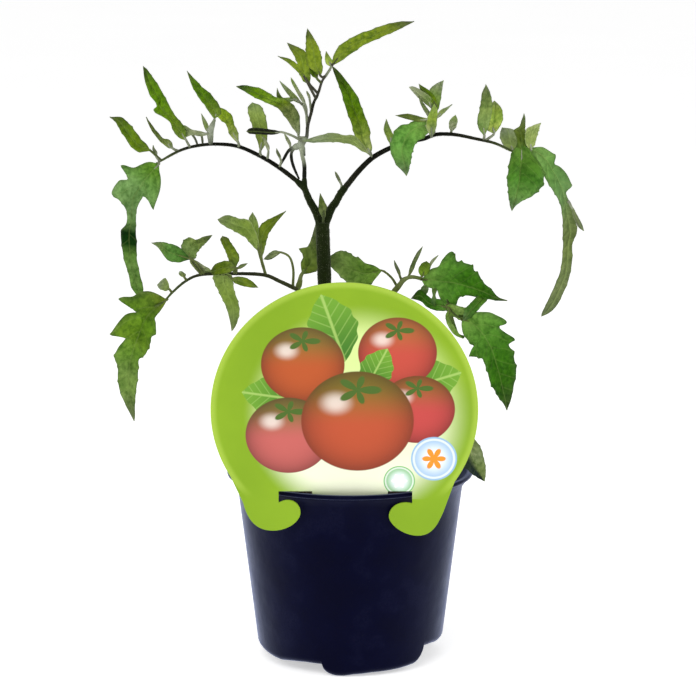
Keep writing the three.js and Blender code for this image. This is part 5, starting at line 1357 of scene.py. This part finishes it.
# %% The leaflets at the lower right
LOWER_RIGHT = dict(
    rib=(0, 1, 139.5, 10.5, 3, 147.5, 19.5, 4, 156.5, 22, 3, 160.5, 26, 2.5, 161.5, 29.9, 2.2, 160.9,
         34.8, 2, 159.5, 38.5, 1.5, 157.6, 40.5, 0.5, 154.3, 41.2, -1, 150.8, 43, -3, 147.3,
         47.2, -4.5, 144.8),
    radii=(1, 0.55),
    leaflets=[
        ("dark_net", (13.5, 12, 163), (-10.5, 15, 167.5), 15, (20, 4, 157, 17.5, 8, 160.5), (9.5, 165.3,
         6, 166.4, 3.2, 168.3, -0.1, 170.1, -4, 171.2), (10.5, 158.9, 8.5, 156.4, 5.3, 155.3, 0, 156.2,
         -5.9, 161.4)),
        ("twig", (21.2, 3, 161.2), (18.5, 7, 168.2), 25, (22, 3, 160.5), (19.7, 163.6, 18.7, 166.1),
         (21, 163.9, 19.6, 166.5)),
        ("silver_dark", (24.3, 3, 161.4), (30.5, 8, 173.8), 30, (23, 3, 161), (24.9, 164.7, 26.2, 167.9,
         28.2, 171.5), (26.4, 163.9, 27.8, 167.3, 29.5, 170.8)),
        ("deep", (29.9, 2, 160.7), (65.1, -14, 154.2), 20, (29.5, 2, 160.5), (33.8, 165.3, 36.7, 166.7,
         38.4, 170.2, 42.1, 173.7, 43.4, 169.7, 46.8, 169.6, 49.9, 168.6, 50.9, 166.1, 53, 164.8, 55.5, 161.2,
         58.4, 158.7, 61.2, 155.7), (31.4, 157.9, 33.9, 157, 36.4, 156.4, 39.4, 148.3, 43.2, 144.9,
         44.7, 152.3, 47.1, 154.5, 50.4, 154.6, 53.2, 154.3, 55.2, 154, 58.1, 154, 61.3, 153.9), (32.7, 160.9,
         35.1, 160.7, 37.2, 160.3, 39.7, 160.1, 42.2, 160.1, 45, 159.8, 47.5, 159.4, 49.5, 159, 51.5, 158.6,
         54.4, 157.8, 57.2, 156.8, 60.5, 155.4)),
        ("round_leaf", (29.9, 0, 162), (31.9, -3, 169.2), 20, (28.1, 3, 161.2), (28.6, 164.8, 29.6, 167.7),
         (33, 164, 33.4, 167.3)),
        ("pale_twig", (32.9, 2, 164.9), (37.1, 5, 170.6), 20, (31.4, 2, 162.2), (33.3, 167.3, 34.6, 169.1),
         (34.3, 166.9, 35.8, 168.8)),
        ("deep", (42.1, 0, 148.5), (25.7, 8, 151.7), 15, (41.5, 0, 149.3), (38.3, 152, 33.6, 152.6,
         29.4, 155.8), (38.4, 147.1, 33.2, 148, 29.5, 150.7)),
        ("dull_deep", (35.2, 1, 158.5), (35.5, 3, 148.9), 15, (34.8, 2, 159.4), (34.3, 156.4, 34.7, 153.9,
         34, 151.3), (36.4, 156.3, 35.8, 153.9, 36.6, 151.2)),
        ("deep", (46.8, -4, 144.7), (64.9, -22, 109.5), 15, (), (50.8, 147.6, 55.3, 148.3, 59.4, 148,
         64.7, 145.5, 61.2, 143.7, 63.8, 141.4, 68.4, 138.7, 65.3, 136.6, 67.4, 132.7, 68.3, 127.9,
         67.8, 121.3, 66.8, 115.5), (46.5, 141.5, 47.3, 138.1, 49.5, 135.4, 51.5, 132.9, 48.8, 129.9,
         54.2, 129.4, 55.4, 127.3, 56.4, 124.2, 57.9, 119.8, 59.7, 116.1, 61.9, 113.5, 63.7, 111.6),
         (49.7, 144.1, 52.2, 142.5, 54.2, 140.6, 55.9, 138.7, 56.6, 137.7, 57.8, 135.8, 59, 133.5, 60, 130.8,
         61, 127.3, 62.4, 122.5, 63.4, 117.8, 64.4, 113.6)),
        ("worn", (31.9, 3, 159), (28, 8, 151.9), 15, (31, 2, 160.7), (30.2, 157.1, 29.3, 154.8), (33, 156.2,
         31.8, 153.4)),
        ("cool_dark", (56.1, -9, 156), (47.1, -6, 144.4), 10, (55.3, -8, 157.2), (52.6, 154.7, 49.9, 151.9,
         47.7, 149.2), (57.2, 153.8, 54.1, 150.1, 50.8, 146.1)),
        ("band", (40.3, -2, 150.1), (52.9, -6, 146.9), 10, (41.2, -1, 150.8), (42.2, 151.1, 44.7, 150.5,
         47.3, 150, 50.2, 149.6), (41.6, 146.7, 44.3, 145.1, 47, 143.8, 50.1, 143.7)),
        ("band", (41.6, -3, 148.8), (47.5, -4, 136.5), 10, (41.2, -1, 150.8), (40, 146.7, 40.2, 144,
         41.5, 141.1, 43.9, 138.1), (43, 146.8, 43.3, 144.3, 44, 141.7, 45.5, 138.8)),
    ],
    twigs=[
        ("green", (42.2, -3, 146, 43.5, -3, 142.2, 45.2, -3, 138.2, 47.7, -4, 137.3)),
        ("green", (40.7, 1, 148.3, 42.3, -1, 147, 45.1, -3, 146.4, 48.8, -4.5, 145.8)),
        ("thick", (16.8, 3.5, 153.4, 19.9, 2.5, 157.2, 22.6, 2, 160.5, 25.7, 1.2, 161.9, 29.7, 1, 161.3)),
    ],
)
print(len(LOWER_RIGHT["leaflets"]), "leaflets at the lower right")

# %% The leaflets of the young top
SHOOT = dict(
    rib=(-19, 1, 209, -20, 0.5, 214, -19.5, 0, 217.5, -18, 0, 220.5, -17.5, 0, 225.5, -16, 0, 231,
         -15, -0.5, 235, -13.5, -1, 238, -12.5, -1.5, 241, -11.5, -2, 244, -9.5, -2.5, 247, -7, -3, 251),
    radii=(0.95, 0.5),
    leaflets=[
        ("bicolour", (-21.1, 0, 220.7), (-46.4, -14, 242.8), 20, (-18.5, 0, 220.5), (-20.7, 223.3,
         -20.7, 227.2, -21.2, 230.7, -22.7, 233.5, -24.7, 235.8, -27.5, 237, -30.8, 238.1, -34, 240.2,
         -36.9, 241.7, -40.5, 242.7, -43.7, 243.2), (-22.4, 222.9, -24.4, 225.4, -26.2, 228.2, -28.5, 231.4,
         -30.5, 233.2, -32.9, 234.5, -35.4, 235.9, -38, 237, -40.2, 238.4, -42.5, 240.1, -44.9, 241.6)),
        ("black", (-28.1, -4, 223.1), (-42.5, -12, 224.2), 25, (-19.9, 0, 219, -23.6, -2, 221.3),
         (-30.9, 224.1, -34.6, 224.8, -38.6, 225.4, -41.1, 225.3), (-31, 222.3, -34.6, 222.3, -38.7, 222.7,
         -41.1, 223)),
        ("pale_twig", (-24.5, 3, 215.8), (-27.5, 8, 221.4), 20, (-19.5, 0, 218.2, -22, 2, 217), (-25.5, 217.1,
         -26.7, 219), (-24.6, 217.7, -25.8, 219.8)),
        ("sheath", (-18.2, 2, 233), (-24.6, 9, 244.6), 25, (-17, 0, 224.4, -18, 1, 228.9), (-18.9, 236.2,
         -21, 239.5, -23.1, 242.9), (-20.6, 236.1, -22.5, 239.3, -24.3, 242.7)),
        ("young", (-16.7, -2, 242.8), (-26.1, 8, 259.1), 25, (-13.5, -1, 239), (-16.4, 246.6, -16.8, 251.3,
         -18.3, 255.6, -22.2, 257.7), (-19.4, 243.8, -21.3, 246.9, -22.5, 252.2, -24.7, 256.2)),
        ("young", (-19, -3, 246), (-29.5, -12, 255), 35, (-14.5, -1, 237, -16, -3, 240.5), (-20.5, 250,
         -24.5, 253.5), (-21, 247.5, -25.5, 252)),
        ("young", (-12.2, -3, 246.3), (-17.4, -11, 266.2), 25, (-10.2, -2.2, 246.2, -11.1, -2.6, 245.6),
         (-14.8, 248.4, -17, 250.3, -17.8, 253.2, -18, 258.2, -17.9, 263.3), (-11.3, 248.3, -11.3, 251.2,
         -11.6, 254.6, -12.7, 258.2, -15.2, 262.8)),
        ("fresh", (-7.8, -3.5, 249.9), (-9.9, 4, 255.8), 20, (-10.5, -2, 246.5), (-9.9, 251.4, -10.3, 253.7),
         (-7, 251.8, -8.6, 254.1)),
        ("young", (-7.5, -3, 250.5), (26, -18, 269.5), 25, (), (-6.5, 255.5, -3, 260, 3, 263.5, 10.5, 266.5,
         18.5, 269), (-3.5, 252.5, 2, 256.5, 7.5, 260, 14, 263, 21, 266.5)),
        ("pale_twig", (-16.6, 1, 235.5), (-18.1, 8, 239.1), 20, (-16.2, 0, 231.1), (-17.4, 237, -18, 238.3),
         (-16.5, 237.2, -17.2, 238.4)),
        ("greying", (-19.7, 2, 234), (-29, -5, 244.3), 25, (-17, 0, 226.1, -18.2, 1, 230.6), (-21.7, 237.1,
         -24.4, 240.1, -26.8, 242.4), (-23.4, 235.6, -25.4, 238, -27.6, 241.3)),
        ("misty", (-22.3, 0, 236.2), (-30, -6, 241.5), 20, (-19.7, 2, 234), (-25, 237.2, -27.4, 237.2,
         -28.8, 238.7), (-24.8, 235.4, -27.9, 235.5, -30.1, 237.6)),
        ("olive_deep", (-13.5, -3, 245), (-16.8, 0, 250.1), 25, (-11.9, -1.8, 243.2), (-15.7, 246.3,
         -16.6, 248.2), (-13.2, 247.1, -14.5, 249)),
    ],
    twigs=[
        ("dark", (-29.4, 6, 207.8, -27.5, 4, 211.3, -25.4, 3, 214.8, -22, 1, 217.3)),
        ("dark", (-21.2, 2, 203, -23.1, 1, 207.3, -24.3, 1, 211.4, -24.1, 2, 214.5, -21.6, 1, 216.9)),
        ("hub", (-19.1, 1, 212.7, -19.9, 1, 215.6, -20.3, 0.5, 218.6, -17.8, -0.5, 220.3)),
        ("hub", (-24.5, 2.5, 215.5, -22.7, 2, 216.3, -20.8, 1, 217.3, -19.1, 0, 218.6)),
    ],
)
print(len(SHOOT["leaflets"]), "leaflets of the young top")

# %% The leaflets behind the tag
BEHIND_TAG = dict(
    rib=(2, -3, 106, 19, -7, 110, 33.5, -11, 105.5, 45, -14, 96, 47.5, -15, 94),
    radii=(0.9, 0.55),
    leaflets=[
        # Painted shadow: this leaflet's half along the tag's edge takes darker colours, as the tag's shadow.
        ("folded", (45, -14, 96), (56, -20, 79), 10, (), (49, 97.5, 53.5, 94.5, 55.5, 89.5, 56.5, 83.5),
         (44, 92.5, 45.5, 88, 48, 84, 52, 81)),
    ],
)
print(len(BEHIND_TAG["leaflets"]), "leaflets behind the tag")

# %% The leaflets of the trunk, and its path
TRUNK = dict(
    path=(-11, 0, 40, -11, 0, 97, -11, 0, 135.5, -10.7, 0, 159.5, -11.2, 0, 175.5, -11.5, 0, 185),
    left_arm=(-11.5, 0, 182, -14, 0, 189, -17, 0.5, 194.5, -19, 1, 199.5),
    right_arm=(-11.5, 0, 182, -8, 0, 190.5, -6, -0.4, 193.4, -4, -0.7, 197.2),
    leaflets=[
        ("fork", (-11.1, -2.6, 186.8), (-12.5, 3, 196.9), 15, (-12, 0, 183), (-12.9, 190, -12.9, 193.7),
         (-9, 189.8, -10.5, 193.4)),
        ("twig", (-3.5, -1, 200.4), (-6.2, -5, 206.9), 20, (-4.5, -0.6, 197), (-4.9, 202.7, -6, 205.1),
         (-4, 203.3, -5.2, 205.7)),
    ],
)
print(len(TRUNK["leaflets"]), "leaflets on the trunk")

# %% [markdown]
# Now the parts grow together. A leaflet's stalk starts at the nearest point of the leafy stem's rib and runs
# on under the blade's first rows, where it thins into the rib, because a stalk that stopped at the base
# would leave a visible joint. The trunk is grown last, with a swelling where each leafy stem leaves it.

# %% Grow the six leafy stems
STALK_RADII, STALK_HAIRS_PER_MM, ROOT_SNAP, LEAST_STEP = (0.6, 0.42), 5, 3.0, 0.2
RIB_TIP, RIB_STEPS = 0.3, 9


def grow_stalk(growth, leaf, rib_line, tones):
    """A leaflet's own stalk, from the leafy stem's rib to the leaflet's first rows."""
    root, *between = leaf["stalk"]
    nearest = rib_line[np.argmin(np.linalg.norm(rib_line - root, axis=1))]
    root = nearest if np.linalg.norm(nearest - root) < ROOT_SNAP else root
    path = np.vstack([root, *between, leaf["base"], blade_lines(leaf)[1][1]])
    path = path[np.concatenate([[True], np.linalg.norm(np.diff(path, axis=0), axis=1) > LEAST_STEP])]
    hairs = int(lengths_along(path)[-1] * STALK_HAIRS_PER_MM)
    tones = OWN_STALKS.get(leaf["kind"], tones)
    growth.stem(path, STALK_RADII, tones, per_span=4, sides=8, hairs=hairs, longest=0.6)


def grow_leaflets(growth, rows, rib_line, stalk_tones):
    """All the leaflets of a stem, each with its stalk."""
    for row in rows:
        leaf = leaflet(*row)
        grow_leaflet(growth, leaf)
        grow_stalk(growth, leaf, rib_line, stalk_tones)


def grow(name, node, socket, parts, rib_tones, stalk_tones, hairs):
    """One piece from a leafy stem's rib, its leaflets and its twigs."""
    growth = Growth()
    rib = np.vstack([leaf_root(socket), np.reshape(parts["rib"], (-1, 3))])
    radii = np.append(np.linspace(*parts["radii"], RIB_STEPS), RIB_TIP)
    growth.stem(rib, radii, rib_tones, hairs=hairs, longest=0.9)
    grow_leaflets(growth, parts["leaflets"], smooth_through(rib, 12), stalk_tones)
    for kind, path in parts.get("twigs", []):
        growth.stem(np.reshape(path, (-1, 3)), *TWIGS[kind], sides=10, hairs=20, longest=0.6)
    growth.finish_as(name, node)


grow("shoot_leaves", "shoot_top", "shoot", SHOOT, SHOOT_TONES, PALE_STALKS, 260)
grow("leaf_upper_left", "frond_upper_left", "upper_left", UPPER_LEFT, RIB_TONES, PALE_STALKS, 420)
grow("leaf_upper_right", "frond_upper_right", "upper_right", UPPER_RIGHT, RIB_TONES, PALE_STALKS, 480)
grow("leaf_lower_left", "frond_lower_left", "lower_left", LOWER_LEFT, LOWER_RIBS, OLIVE_STALKS, 420)
grow("leaf_lower_right", "frond_lower_right", "lower_right", LOWER_RIGHT, LOWER_RIBS, OLIVE_STALKS, 320)
grow("leaf_behind_tag", "frond_behind_tag", "behind_tag", BEHIND_TAG, LOWER_RIBS, OLIVE_STALKS, 220)

# %% Grow the trunk, its fork and its swellings
trunk = Growth()
for part, radii, per_span, sides, hairs, longest in (
    ("path", [2.7, 2.75, 2.85, 2.9], 8, 20, 1900, 1.1),
    ("left_arm", [2.0, 1.3], 5, 16, 240, 0.9),
    ("right_arm", [2.1, 1.45], 5, 16, 240, 0.9),
):
    trunk.stem(np.reshape(TRUNK[part], (-1, 3)), radii, TRUNK_TONES, per_span, sides, hairs, longest)
for name, (*_, thick) in SOCKETS.items():
    start, end = leaf_root(name)
    trunk.stem([start, (start + end) / 2, end], [thick * 1.15, thick, 1.0], TRUNK_TONES, per_span=4, sides=14)
trunk_line = smooth_through(np.reshape(TRUNK["path"], (-1, 3)), 12)
grow_leaflets(trunk, TRUNK["leaflets"], trunk_line, PALE_STALKS)
trunk.finish_as("forked_trunk", "trunk")

# %% [markdown]
# Last, the dressed plant's box is measured, and kept next to the model's. It may stand out of the model's
# box by only a few hundredths of each side.

# %% Measure and finish
low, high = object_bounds()
sizes = {"cad": [list(cad_low), list(cad_high)], "scene": [list(low), list(high)]}
print("scene box", [round(c, 4) for c in (*low, *high)])
